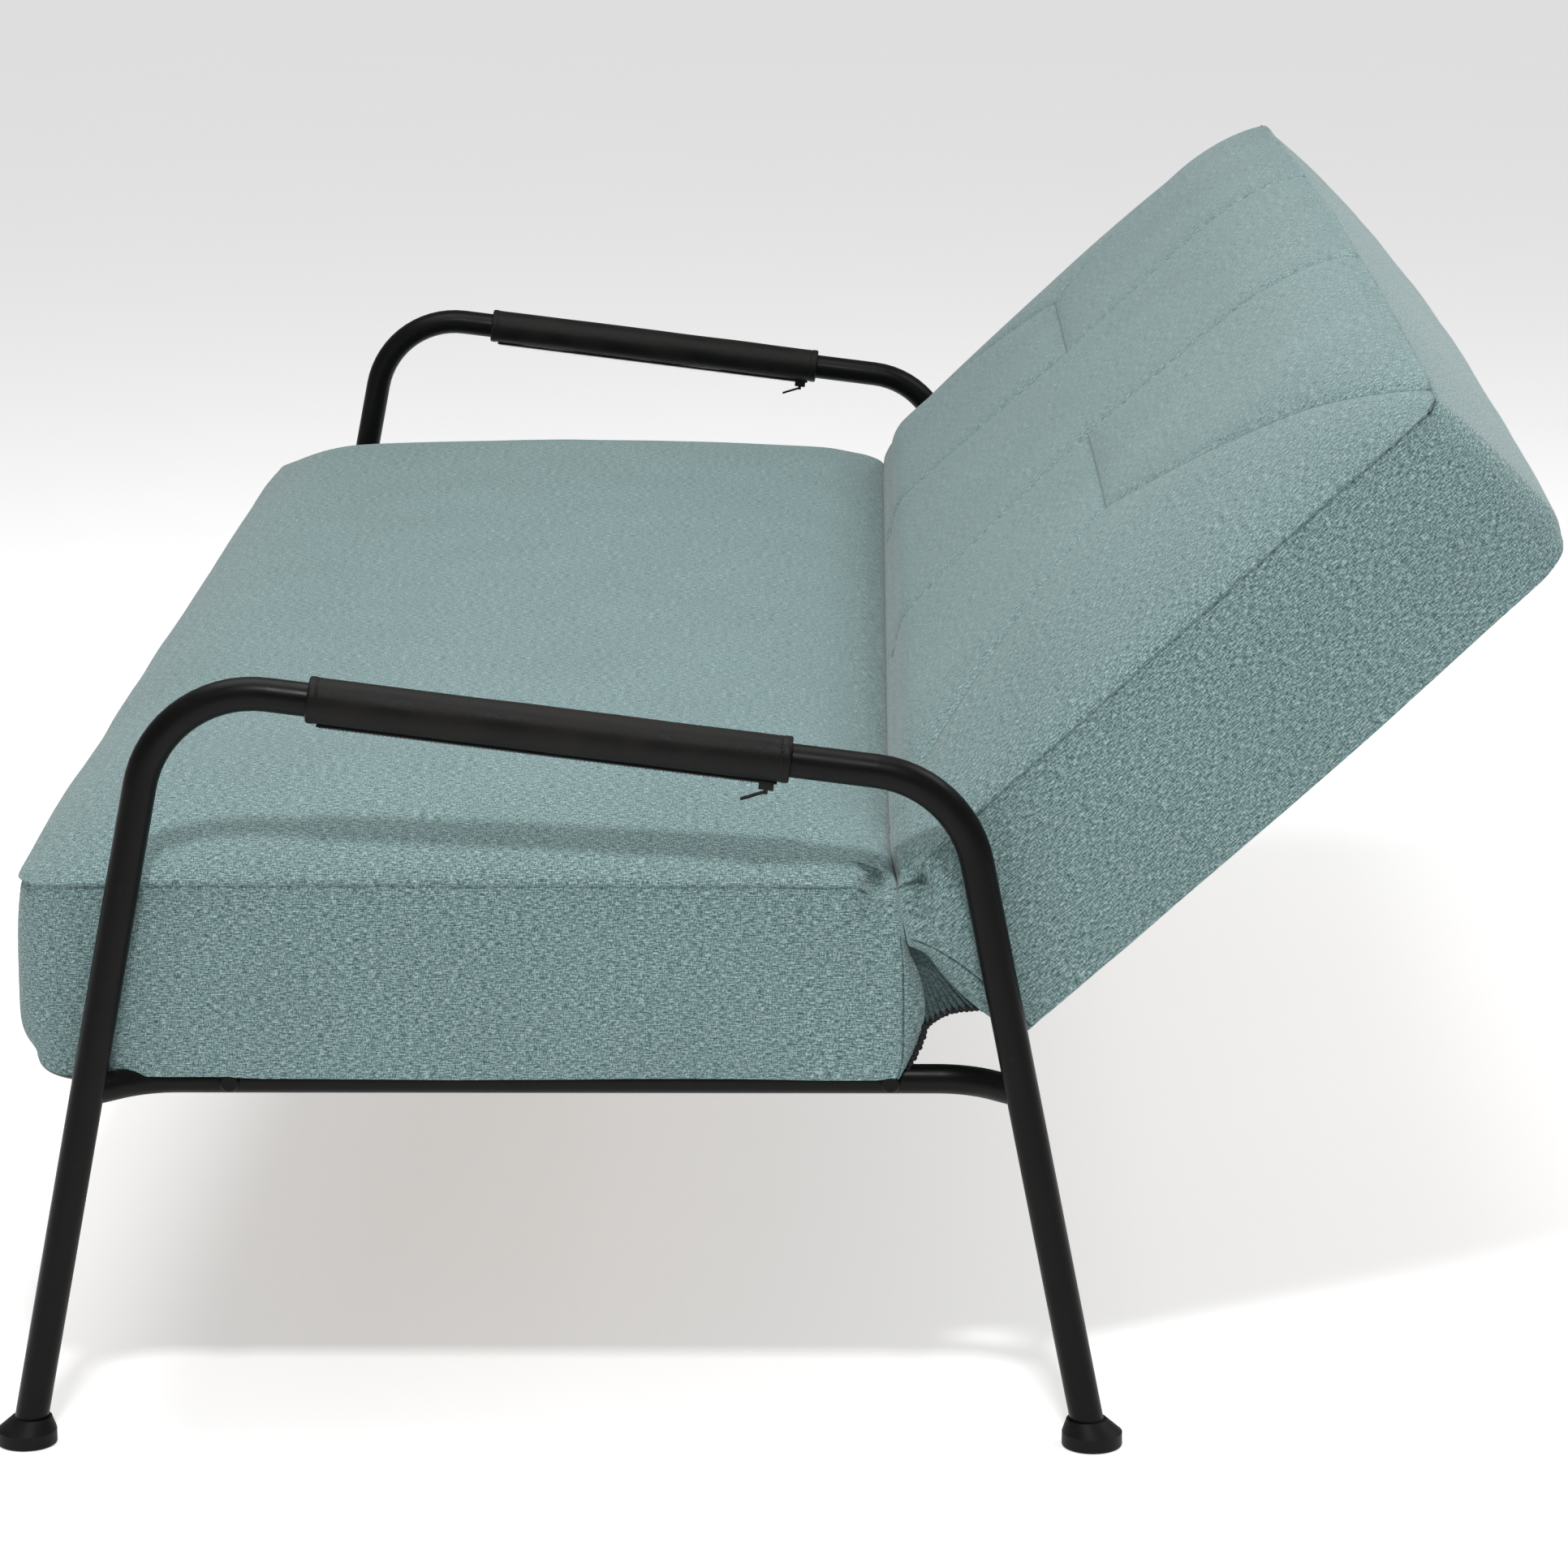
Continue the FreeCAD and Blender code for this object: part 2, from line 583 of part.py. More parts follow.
both_sides("hinge_plate", fixed_plate())
both_sides("back_arm", recline(back_arm()))
both_sides("pawl", recline(pawl()))
pieces["hinge_pivot_pins"] = pair(
    rivet(pivot_centre, PIVOT_PIN_RADIUS, BACK_ARM_X - PLAY, outer_face_x, RIVET_HEAD_RADIUS)
)
washer = round_plate(pivot_centre, PLATE_LEG_HALF, WASHER_X + 0.1, WASHER_THICK - 0.1)
washer_bore = round_plate(pivot_centre, PIVOT_PIN_RADIUS + PIN_CLEARANCE, WASHER_X, WASHER_THICK)
pieces["hinge_washers"] = pair(washer.cut(washer_bore))
arm_rivets = [
    rivet(stop_centre, STOP_RIVET_RADIUS, BACK_ARM_X, outer_face_x + PLAY, STOP_RIVET_RADIUS + 3.0),
    rivet(pawl_centre, PAWL_RIVET_RADIUS, BACK_ARM_X, outer_face_x + PLAY, PAWL_RIVET_RADIUS + 3.0),
]
pieces["arm_rivets"] = Part.makeCompound([pair(recline(part)) for part in arm_rivets])


# ---- seat and back frames ------------------------------------------------------------------------


def frame_tubes(name, length, fold_tube_d, side_x, sign, edge_names):
    """One half's welded frame, flat: two bent side tubes, the far tube, the tube at the fold, the middle."""
    far_d = length - FRAME_END_INSET
    level = frame_level(sign)
    far_name, fold_name = edge_names
    corner_end_x = side_x - FRAME_CORNER_RADIUS - FRAME_RADIUS
    side_points = [
        at_x(pivot_point(fold_tube_d - FRAME_TAIL, level, sign), side_x),
        at_x(pivot_point(far_d, level, sign), side_x),
        at_x(pivot_point(far_d, level, sign), corner_end_x),
    ]
    side_path = bent_path(side_points, FRAME_CORNER_RADIUS)
    side_bar = swept(side_path, FRAME_RADIUS)
    side = tube(side_path, FRAME_RADIUS, FRAME_WALL)

    def crosswise(d, half_length):
        middle = pivot_point(d, level, sign)
        return straight_tube(at_x(middle, -half_length), at_x(middle, half_length), FRAME_RADIUS, FRAME_WALL)

    far = crosswise(far_d, corner_end_x)
    fold = crosswise(fold_tube_d, side_x).cut([side_bar, mirrored(side_bar)])
    ends = [pivot_point(d, level, sign) for d in (fold_tube_d, far_d)]
    coped = FRAME_RADIUS + WELD_GAP
    cross_bars = [straight_bar(at_x(end, -side_x), at_x(end, side_x), coped) for end in ends]
    cross = straight_tube(ends[0], ends[1], FRAME_RADIUS, FRAME_WALL).cut(cross_bars)
    return {
        "right_" + name: side,
        "left_" + name: mirrored(side),
        far_name: far,
        fold_name: fold,
        name.replace("_side_tube", "_cross_tube"): cross,
    }


seat_tubes = frame_tubes(
    "seat_side_tube",
    SEAT_DEPTH,
    SEAT_REAR_TUBE_D,
    SEAT_SIDE_X,
    -1,
    ("seat_front_tube", "seat_rear_tube"),
)
for node in ("right_seat_side_tube", "left_seat_side_tube"):
    drilled = bolt_holes[0] if node.startswith("right") else mirrored(bolt_holes[0])
    seat_tubes[node] = seat_tubes[node].cut(drilled)
pieces.update(seat_tubes)

back_tubes = frame_tubes(
    "back_side_tube",
    BACK_LENGTH,
    BACK_LOWER_TUBE_D,
    BACK_SIDE_X,
    1,
    ("back_top_tube", "back_bottom_tube"),
)
pieces.update({node: recline(shape) for node, shape in back_tubes.items()})


# ---- slats and holders ---------------------------------------------------------------------------

slat_places = [(step - (SLAT_COUNT - 1) / 2) * SLAT_PITCH for step in range(SLAT_COUNT)]


def slat(x, near_d, far_d, sign):
    """Bowed slat lying along a half, between its two holders."""
    level = frame_level(sign)
    low = [pivot_point(near_d, level, sign), pivot_point(far_d, level, sign)]
    middle = pivot_point((near_d + far_d) / 2, level + SLAT_RISE, sign)
    lift = Z_AXIS * SLAT_THICK
    lower = Part.Arc(low[0], middle, low[1]).toShape()
    upper = Part.Arc(low[1] + lift, middle + lift, low[0] + lift).toShape()
    sides = [
        Part.LineSegment(low[1], low[1] + lift).toShape(),
        Part.LineSegment(low[0] + lift, low[0]).toShape(),
    ]
    face = Part.Face(Part.Wire([lower, sides[0], upper, sides[1]]))
    board = face.extrude(X_AXIS * SLAT_WIDTH)
    board.translate(X_AXIS * (x - SLAT_WIDTH / 2))
    return board


def holder(x, tube_d, inward, sign, boards):
    """Plastic pocket beside a frame tube: takes a slat's end, open towards the middle of the half."""
    near = tube_d + inward * (FRAME_RADIUS + HOLDER_GAP)
    low_d = min(near, near + inward * HOLDER_LENGTH)
    base = pivot_point(low_d, frame_level(sign) - HOLDER_WALL - HOLDER_GAP, sign)
    if sign < 0:
        base = base - Y_AXIS * HOLDER_LENGTH
    height = SLAT_THICK + SLAT_RISE / 2 + 2 * (HOLDER_WALL + HOLDER_GAP)
    block = Part.makeBox(HOLDER_WIDTH, HOLDER_LENGTH, height, base + X_AXIS * (x - HOLDER_WIDTH / 2))
    return block.cut(boards)


def slat_set(prefix, length, fold_tube_d, sign):
    """All the slats and the one group of holders of a half, flat."""
    far_d = length - FRAME_END_INSET
    end_gap = FRAME_RADIUS + HOLDER_GAP + HOLDER_WALL
    boards = {}
    holders = []
    for number, x in enumerate(slat_places, 1):
        board = slat(x, fold_tube_d + end_gap, far_d - end_gap, sign)
        boards[f"{prefix}_slat_{number}"] = board
        pocket = slat(x, fold_tube_d + end_gap, far_d - end_gap, sign).makeOffsetShape(HOLDER_GAP, 0.01)
        holders.append(holder(x, fold_tube_d, 1, sign, pocket))
        holders.append(holder(x, far_d, -1, sign, pocket))
    boards[f"{prefix}_slat_holders"] = Part.makeCompound(holders)
    return boards


pieces.update(slat_set("seat", SEAT_DEPTH, SEAT_REAR_TUBE_D, -1))
back_slats = slat_set("back", BACK_LENGTH, BACK_LOWER_TUBE_D, 1)
pieces.update({node: recline(shape) for node, shape in back_slats.items()})


# ---- mattress halves -----------------------------------------------------------------------------


def side_profile(length, grow, bottom, sign):
    """Outline of a half seen from its end: flat underside, crowned top, rounded towards the fold."""
    near = FOLD_GAP / 2 - grow
    far = length - COVER_THICK + grow
    points = {
        "fold_low": (near, bottom),
        "fold_high": (near, FOLD_EDGE),
        "fold_round": (near + FOLD_ROUND_DEPTH, FOLD_ROUND_HEIGHT + grow),
        "fold_shoulder": (near + FOLD_SHOULDER_DEPTH, FOLD_SHOULDER_HEIGHT + grow),
        "crown": (length * 0.5, CROWN + grow),
        "far_shoulder": (far - SHOULDER_DEPTH, SHOULDER_HEIGHT + grow),
        "far_round": (far - SHOULDER_DEPTH * 0.25, (SHOULDER_HEIGHT + EDGE_SEAM) / 2 + 11 + grow),
        "far_seam": (far, EDGE_SEAM),
        "far_low": (far, bottom),
    }
    at = {name: pivot_point(d, v, sign) for name, (d, v) in points.items()}
    edges = [
        Part.LineSegment(at["fold_low"], at["fold_high"]),
        Part.Arc(at["fold_high"], at["fold_round"], at["fold_shoulder"]),
        Part.Arc(at["fold_shoulder"], at["crown"], at["far_shoulder"]),
        Part.Arc(at["far_shoulder"], at["far_round"], at["far_seam"]),
        Part.LineSegment(at["far_seam"], at["far_low"]),
        Part.LineSegment(at["far_low"], at["fold_low"]),
    ]
    return Part.Face(Part.Wire([edge.toShape() for edge in edges]))


def end_profile(grow, bottom):
    """Outline of a half seen along its slats: upright ends, rounded shoulders, crowned top."""
    half = CUSHION_HALF_WIDTH - COVER_THICK + grow
    shoulder = half - SHOULDER_WIDTH

    def at(x, v):
        return Vec(x, 0, PIVOT_Z + v)

    shoulder_mid = (half - SHOULDER_WIDTH * 0.25, (SHOULDER_HEIGHT + EDGE_SEAM) / 2 + 12 + grow)
    edges = [
        Part.LineSegment(at(-half, bottom), at(half, bottom)),
        Part.LineSegment(at(half, bottom), at(half, EDGE_SEAM)),
        Part.Arc(at(half, EDGE_SEAM), at(*shoulder_mid), at(shoulder, SHOULDER_HEIGHT + grow)),
        Part.Arc(
            at(shoulder, SHOULDER_HEIGHT + grow),
            at(0, CROWN + grow),
            at(-shoulder, SHOULDER_HEIGHT + grow),
        ),
        Part.Arc(
            at(-shoulder, SHOULDER_HEIGHT + grow),
            at(-shoulder_mid[0], shoulder_mid[1]),
            at(-half, EDGE_SEAM),
        ),
        Part.LineSegment(at(-half, EDGE_SEAM), at(-half, bottom)),
    ]
    return Part.Face(Part.Wire([edge.toShape() for edge in edges]))


def crowned_block(length, grow, bottom, sign):
    """Solid that has both outlines: the overlap of one extruded along X and one along Y."""
    along_x = side_profile(length, grow, bottom, sign).extrude(X_AXIS * 3 * CUSHION_HALF_WIDTH)
    along_x.translate(X_AXIS * -1.5 * CUSHION_HALF_WIDTH)
    along_y = end_profile(grow, bottom).extrude(Y_AXIS * 4 * length)
    along_y.translate(Y_AXIS * (PIVOT_Y - 2 * length))
    return along_x.common(along_y)


def hinge_pockets(depth, outer_x, sign):
    """The two blocks left clear beside the fold, where the hinges stand, out to a distance from mid width."""
    inner_x = BACK_ARM_X - RIVET_HEAD_THICK - 5.0
    start_y = PIVOT_Y if sign > 0 else PIVOT_Y - depth
    block = Part.makeBox(outer_x - inner_x, depth, 400, Vec(inner_x, start_y, PIVOT_Z - 200))
    return [block, mirrored(block)]


def foam_core(length, pocket_depth, sign):
    core = crowned_block(length, 0, foam_bottom(sign), sign)
    return core.cut(hinge_pockets(pocket_depth, CUSHION_HALF_WIDTH, sign))


def cover(length, pocket_depth, sign):
    """Cloth shell over a core: open underneath and towards the fold, with a skirt below the foam."""
    skirt_bottom = foam_bottom(-1) - COVER_SKIRT      # both hems are level when the back is flat
    outside = crowned_block(length, COVER_THICK, skirt_bottom, sign)
    inside = crowned_block(length, 0, skirt_bottom - 50.0, sign)
    fold_opening = Part.makeBox(
        4 * CUSHION_HALF_WIDTH,
        FOLD_GAP,
        PIVOT_Z,
        Vec(-2 * CUSHION_HALF_WIDTH, PIVOT_Y - FOLD_GAP / 2, FOLD_EDGE),
    )
    pockets = hinge_pockets(pocket_depth, CUSHION_HALF_WIDTH - 2 * COVER_THICK, sign)
    return outside.cut([inside, fold_opening] + pockets)


pieces["seat_foam"] = foam_core(SEAT_DEPTH, EYE_POCKET, -1)
pieces["back_foam"] = recline(foam_core(BACK_LENGTH, HINGE_POCKET, 1))
pieces["seat_cover"] = cover(SEAT_DEPTH, EYE_POCKET, -1)
pieces["back_cover"] = recline(cover(BACK_LENGTH, EYE_POCKET, 1))


# ---- the whole, centred front to back, and written out --------------------------------------------

whole = Part.makeCompound(list(pieces.values())).optimalBoundingBox(True, False)
shift = Y_AXIS * (-(whole.YMin + whole.YMax) / 2)
for node, shape in pieces.items():
    shape.translate(shift)
    shape.exportStep(f"parts/{node}.step")

raised_pawl = polar(PAWL_PIVOT_RADIUS, ARM_FOOT_ANGLE + REST_ANGLE) + shift
print(f"{len(pieces)} nodes, moved along Y by {shift.y:.4f}")
print(f"hinge line at y {PIVOT_Y + shift.y:.4f}, z {PIVOT_Z}")
print(f"pull pin at {pull_pin_centre + shift}, armrest way {armrest_way}")
print(f"pawl rivet at y {raised_pawl.y:.4f}, z {raised_pawl.z:.4f}")
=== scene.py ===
"""Three-position futon sofa bed: cloth mattress halves, bent-tube arm frames, sleeves, slats and hinges."""

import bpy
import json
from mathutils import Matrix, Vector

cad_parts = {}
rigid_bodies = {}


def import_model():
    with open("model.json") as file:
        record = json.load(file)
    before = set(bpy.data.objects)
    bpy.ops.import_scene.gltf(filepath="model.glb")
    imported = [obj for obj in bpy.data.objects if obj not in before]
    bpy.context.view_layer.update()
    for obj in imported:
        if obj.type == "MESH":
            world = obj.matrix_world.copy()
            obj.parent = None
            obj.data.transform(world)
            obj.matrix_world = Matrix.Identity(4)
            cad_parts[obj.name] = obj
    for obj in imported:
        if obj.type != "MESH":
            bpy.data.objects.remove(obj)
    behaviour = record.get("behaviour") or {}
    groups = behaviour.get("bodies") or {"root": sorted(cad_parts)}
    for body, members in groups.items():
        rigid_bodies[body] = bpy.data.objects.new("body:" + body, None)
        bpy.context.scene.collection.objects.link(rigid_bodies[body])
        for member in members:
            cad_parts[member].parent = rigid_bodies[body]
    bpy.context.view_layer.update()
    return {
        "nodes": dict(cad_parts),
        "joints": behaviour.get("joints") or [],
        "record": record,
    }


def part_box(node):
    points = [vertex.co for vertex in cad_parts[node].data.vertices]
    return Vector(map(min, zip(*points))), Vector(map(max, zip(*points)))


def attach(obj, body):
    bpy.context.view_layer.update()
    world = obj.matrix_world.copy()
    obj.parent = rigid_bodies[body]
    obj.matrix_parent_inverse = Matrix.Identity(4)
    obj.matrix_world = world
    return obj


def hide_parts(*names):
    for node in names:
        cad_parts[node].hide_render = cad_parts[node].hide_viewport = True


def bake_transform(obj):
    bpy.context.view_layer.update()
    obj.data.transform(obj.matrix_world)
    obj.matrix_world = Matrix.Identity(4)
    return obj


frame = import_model()

import json
import logging
import math
from dataclasses import dataclass, field
from enum import Enum

import bmesh
import bpy
from mathutils import Matrix, Vector, noise

MM = 0.001
TOUCHING = 0.01 * MM
log = logging.getLogger("futon")

Colour = tuple[float, float, float, float]
Socket = bpy.types.NodeSocket


class Side(Enum):
    """The two ends of the sofa, with the sign of X that each stands at."""

    LEFT = -1
    RIGHT = 1

    def node(self, piece: str) -> str:
        """Name of this side's node of a mirrored piece."""
        return f"{self.name.lower()}_{piece}"


class Half(Enum):
    """The two halves of the mattress."""

    SEAT = "seat"
    BACK = "back"


# ---- small sums ----------------------------------------------------------------------------------


def ease(share: float) -> float:
    """Smooth step from 0 to 1 of a share that is first held between 0 and 1."""
    held = min(max(share, 0.0), 1.0)
    return held * held * (3 - 2 * held)


def mix(low: float, high: float, share: float) -> float:
    """Value a share of the way from low to high."""
    return low + (high - low) * share


def shoulder(distance: float, width: float, fullness: float) -> float:
    """Rise from 0 at an edge to 1 a width away, as a rounded cushion edge does.

    Args:
        distance: how far from the edge.
        width: where the rise is complete.
        fullness: 1 is a straight slope and 2 a quarter of an ellipse.

    Returns:
        The share of the full height.
    """
    left = 1 - min(max(distance / width, 0.0), 1.0)
    return (1 - left**fullness) ** (1 / fullness)


def bump_at(distance: float, reach: float) -> float:
    """Bell curve of a distance, 1 at nought."""
    return math.exp(-((distance / reach) ** 2))


# ---- finishes ------------------------------------------------------------------------------------


class Bench:
    """Lays out one material's nodes round its Principled shader."""

    def __init__(self, name: str, **constants: object) -> None:
        """Starts a material whose shader has the given constant values.

        Args:
            name: the material's name.
            constants: shader sockets by name, with underscores for spaces.
        """
        self.material = bpy.data.materials.new(name)
        self.material.use_nodes = True
        self.tree = self.material.node_tree
        self.shader = self.tree.nodes["Principled BSDF"]
        for key, value in constants.items():
            self.shader.inputs[key.replace("_", " ")].default_value = value

    def add(
        self,
        kind: str,
        feeds: dict[object, object] | None = None,
        **settings: object,
    ) -> bpy.types.Node:
        """Adds a node.

        Args:
            kind: the node's type, without its "ShaderNode" prefix.
            feeds: what goes into its sockets: another node's output or a constant.
            settings: the node's own properties.

        Returns:
            The node.
        """
        node = self.tree.nodes.new("ShaderNode" + kind)
        for key, value in settings.items():
            setattr(node, key, value)
        for socket, value in (feeds or {}).items():
            if isinstance(value, Socket):
                self.tree.links.new(value, node.inputs[socket])
            else:
                node.inputs[socket].default_value = value
        return node

    def object_place(self) -> Socket:
        """Object coordinates."""
        return self.add("TexCoord").outputs["Object"]

    def uv_place(self, uv_map: str) -> Socket:
        """Coordinates of one of the piece's own UV maps."""
        return self.add("UVMap", uv_map=uv_map).outputs["UV"]

    def stretched(self, place: Socket, scale: tuple[float, float, float], turn: float = 0.0) -> Socket:
        """Coordinates scaled, and turned about Z, by constants."""
        feeds = {"Vector": place, "Scale": scale, "Rotation": (0.0, 0.0, turn)}
        return self.add("Mapping", feeds).outputs["Vector"]

    def noise(self, place: Socket, scale: float, detail: float = 2.0, roughness: float = 0.5) -> Socket:
        """Grey noise from 0 to 1."""
        feeds = {"Vector": place, "Scale": scale, "Detail": detail, "Roughness": roughness}
        return self.add("TexNoise", feeds).outputs["Fac"]

    def ramp(self, value: Socket, stops: list[tuple[float, Colour]]) -> Socket:
        """Colour ramp over a value.

        Args:
            value: what picks the colour.
            stops: places from 0 to 1 with their colours, in order.

        Returns:
            The colour.
        """
        node = self.add("ValToRGB", {"Fac": value})
        elements = node.color_ramp.elements
        while len(elements) < len(stops):
            elements.new(0.5)
        for element, (place, colour) in zip(elements, stops):
            element.position = place
            element.color = colour
        return node.outputs["Color"]

    def levels(self, value: Socket, source: tuple[float, float], target: tuple[float, float]) -> Socket:
        """Maps one range of a value onto another, held at its ends."""
        feeds = {
            "Value": value,
            "From Min": source[0],
            "From Max": source[1],
            "To Min": target[0],
            "To Max": target[1],
        }
        return self.add("MapRange", feeds).outputs["Result"]

    def sum(self, kind: str, first: object, second: object) -> Socket:
        """Arithmetic on two values."""
        return self.add("Math", {0: first, 1: second}, operation=kind).outputs[0]

    def blended(self, kind: str, share: object, first: object, second: object) -> Socket:
        """Two colours mixed in one of the blend modes."""
        feeds = {"Factor": share, 6: first, 7: second}
        return self.add("Mix", feeds, data_type="RGBA", blend_type=kind).outputs[2]

    def bump(self, height: Socket, strength: float, depth: float, under: Socket | None = None) -> Socket:
        """Normal from a height, with a depth in metres, over another bump where one is given."""
        feeds = {"Height": height, "Strength": strength, "Distance": depth}
        if under is not None:
            feeds["Normal"] = under
        return self.add("Bump", feeds).outputs["Normal"]

    def into(self, socket: str, value: Socket) -> None:
        """Feeds one of the shader's sockets."""
        self.tree.links.new(value, self.shader.inputs[socket])


def grey(value: float, warmth: float = 0.0) -> Colour:
    """Grey, a little redder than blue by the warmth."""
    return (value * (1 + warmth), value, value * (1 - warmth), 1.0)


@dataclass(frozen=True)
class PowderCoat:
    """Satin black powder coat: fine orange peel, faint rubbed streaks."""

    name: str = "frame_black"
    colour: Colour = grey(0.0028, 0.06)
    rubbed: Colour = grey(0.012, 0.05)
    roughness: float = 0.36

    def material(self) -> bpy.types.Material:
        """Builds the node material."""
        bench = Bench(self.name, Metallic=0.0, Specular_IOR_Level=0.12)
        place = bench.object_place()
        streaks = bench.noise(bench.stretched(place, (1.0, 0.25, 0.25)), 260.0, 3.0, 0.6)
        rub = bench.levels(streaks, (0.66, 0.78), (0.0, 0.5))
        bench.into("Base Color", bench.blended("MIX", rub, self.colour, self.rubbed))
        cloud = bench.noise(place, 35.0, 3.0)
        rough = bench.levels(cloud, (0.3, 0.7), (self.roughness - 0.05, self.roughness + 0.06))
        bench.into("Roughness", rough)
        bench.into("Normal", bench.bump(bench.noise(place, 1100.0, 1.0), 0.10, 0.00025))
        return bench.material


@dataclass(frozen=True)
class MouldedPlastic:
    """Black moulded plastic with a spark-eroded grain."""

    name: str
    colour: Colour = grey(0.006, 0.02)
    roughness: float = 0.5

    def material(self) -> bpy.types.Material:
        """Builds the node material."""
        bench = Bench(self.name, Metallic=0.0, Specular_IOR_Level=0.12)
        place = bench.object_place()
        scuffs = bench.levels(bench.noise(place, 90.0, 4.0, 0.7), (0.55, 0.8), (0.0, 0.6))
        bench.into("Base Color", bench.blended("MIX", scuffs, self.colour, grey(self.colour[1] * 2.2)))
        bench.into("Roughness", bench.levels(scuffs, (0.0, 0.6), (self.roughness, self.roughness + 0.15)))
        bench.into("Normal", bench.bump(bench.noise(place, 1600.0, 2.0), 0.22, 0.0002))
        return bench.material


@dataclass(frozen=True)
class Leatherette:
    """Black coated cloth with a pebbled grain, creased lightly across the tube."""

    name: str = "sleeve_leatherette"
    colour: Colour = grey(0.0042, 0.10)
    roughness: float = 0.47

    def material(self) -> bpy.types.Material:
        """Builds the node material."""
        bench = Bench(self.name, Metallic=0.0, Specular_IOR_Level=0.13)
        place = bench.object_place()
        cells = bench.add("TexVoronoi", {"Vector": place, "Scale": 820.0}, feature="DISTANCE_TO_EDGE")
        pebbles = bench.levels(cells.outputs["Distance"], (0.0, 0.35), (0.0, 1.0))
        creases = bench.noise(bench.stretched(place, (1.0, 6.0, 1.0)), 38.0, 3.0)
        worn = bench.levels(bench.noise(place, 24.0, 2.0), (0.35, 0.75), (0.0, 1.0))
        bench.into("Base Color", bench.blended("MIX", worn, self.colour, grey(0.009, 0.10)))
        rough = (self.roughness - 0.04, self.roughness + 0.07)
        bench.into("Roughness", bench.levels(worn, (0.0, 1.0), rough))
        fine = bench.bump(pebbles, 0.28, 0.0003)
        bench.into("Normal", bench.bump(creases, 0.16, 0.0008, fine))
        return bench.material


@dataclass(frozen=True)
class WovenTape:
    """Narrow black nylon tape with a close diagonal twill."""

    name: str = "zip_nylon"
    colour: Colour = grey(0.012)

    def material(self) -> bpy.types.Material:
        """Builds the node material."""
        bench = Bench(self.name, Metallic=0.0, Roughness=0.72, Specular_IOR_Level=0.3)
        place = bench.stretched(bench.object_place(), (1.0, 1.0, 1.0), math.radians(45))
        twill = bench.add("TexWave", {"Vector": place, "Scale": 420.0, "Distortion": 0.6})
        bench.into("Base Color", bench.ramp(twill.outputs["Fac"], [(0.0, grey(0.006)), (1.0, self.colour)]))
        bench.into("Normal", bench.bump(twill.outputs["Fac"], 0.4, 0.0003))
        return bench.material


@dataclass(frozen=True)
class Steel:
    """Plated or blackened steel with brushed streaks and dull handling marks."""

    name: str
    colour: Colour
    roughness: float = 0.34

    def material(self) -> bpy.types.Material:
        """Builds the node material."""
        bench = Bench(self.name, Metallic=1.0)
        place = bench.object_place()
        brushed = bench.noise(bench.stretched(place, (1.0, 1.0, 12.0)), 160.0, 4.0, 0.7)
        marks = bench.noise(place, 42.0, 3.0)
        dull = tuple(channel * 0.6 for channel in self.colour[:3]) + (1.0,)
        shade = bench.levels(marks, (0.35, 0.7), (0.0, 0.8))
        bench.into("Base Color", bench.blended("MIX", shade, self.colour, dull))
        rough = (self.roughness - 0.08, self.roughness + 0.12)
        bench.into("Roughness", bench.levels(brushed, (0.3, 0.7), rough))
        bench.into("Normal", bench.bump(brushed, 0.08, 0.0002))
        return bench.material


@dataclass(frozen=True)
class BentPly:
    """Pale bent birch plywood with its grain along the slat and its plies on the edge."""

    name: str = "slat_wood"
    pale: Colour = (0.62, 0.43, 0.25, 1.0)
    grain: Colour = (0.42, 0.26, 0.13, 1.0)

    def material(self) -> bpy.types.Material:
        """Builds the node material."""
        bench = Bench(self.name, Metallic=0.0, Specular_IOR_Level=0.35)
        place = bench.object_place()
        fibres = bench.noise(bench.stretched(place, (30.0, 1.2, 8.0)), 14.0, 5.0, 0.65)
        figure = bench.noise(bench.stretched(place, (7.0, 0.5, 2.0)), 6.0, 2.0)
        both = bench.sum("ADD", bench.sum("MULTIPLY", fibres, 0.6), bench.sum("MULTIPLY", figure, 0.4))
        bench.into("Base Color", bench.ramp(both, [(0.36, self.grain), (0.58, self.pale)]))
        bench.into("Roughness", bench.levels(fibres, (0.3, 0.7), (0.42, 0.58)))
        bench.into("Normal", bench.bump(fibres, 0.15, 0.0003))
        return bench.material


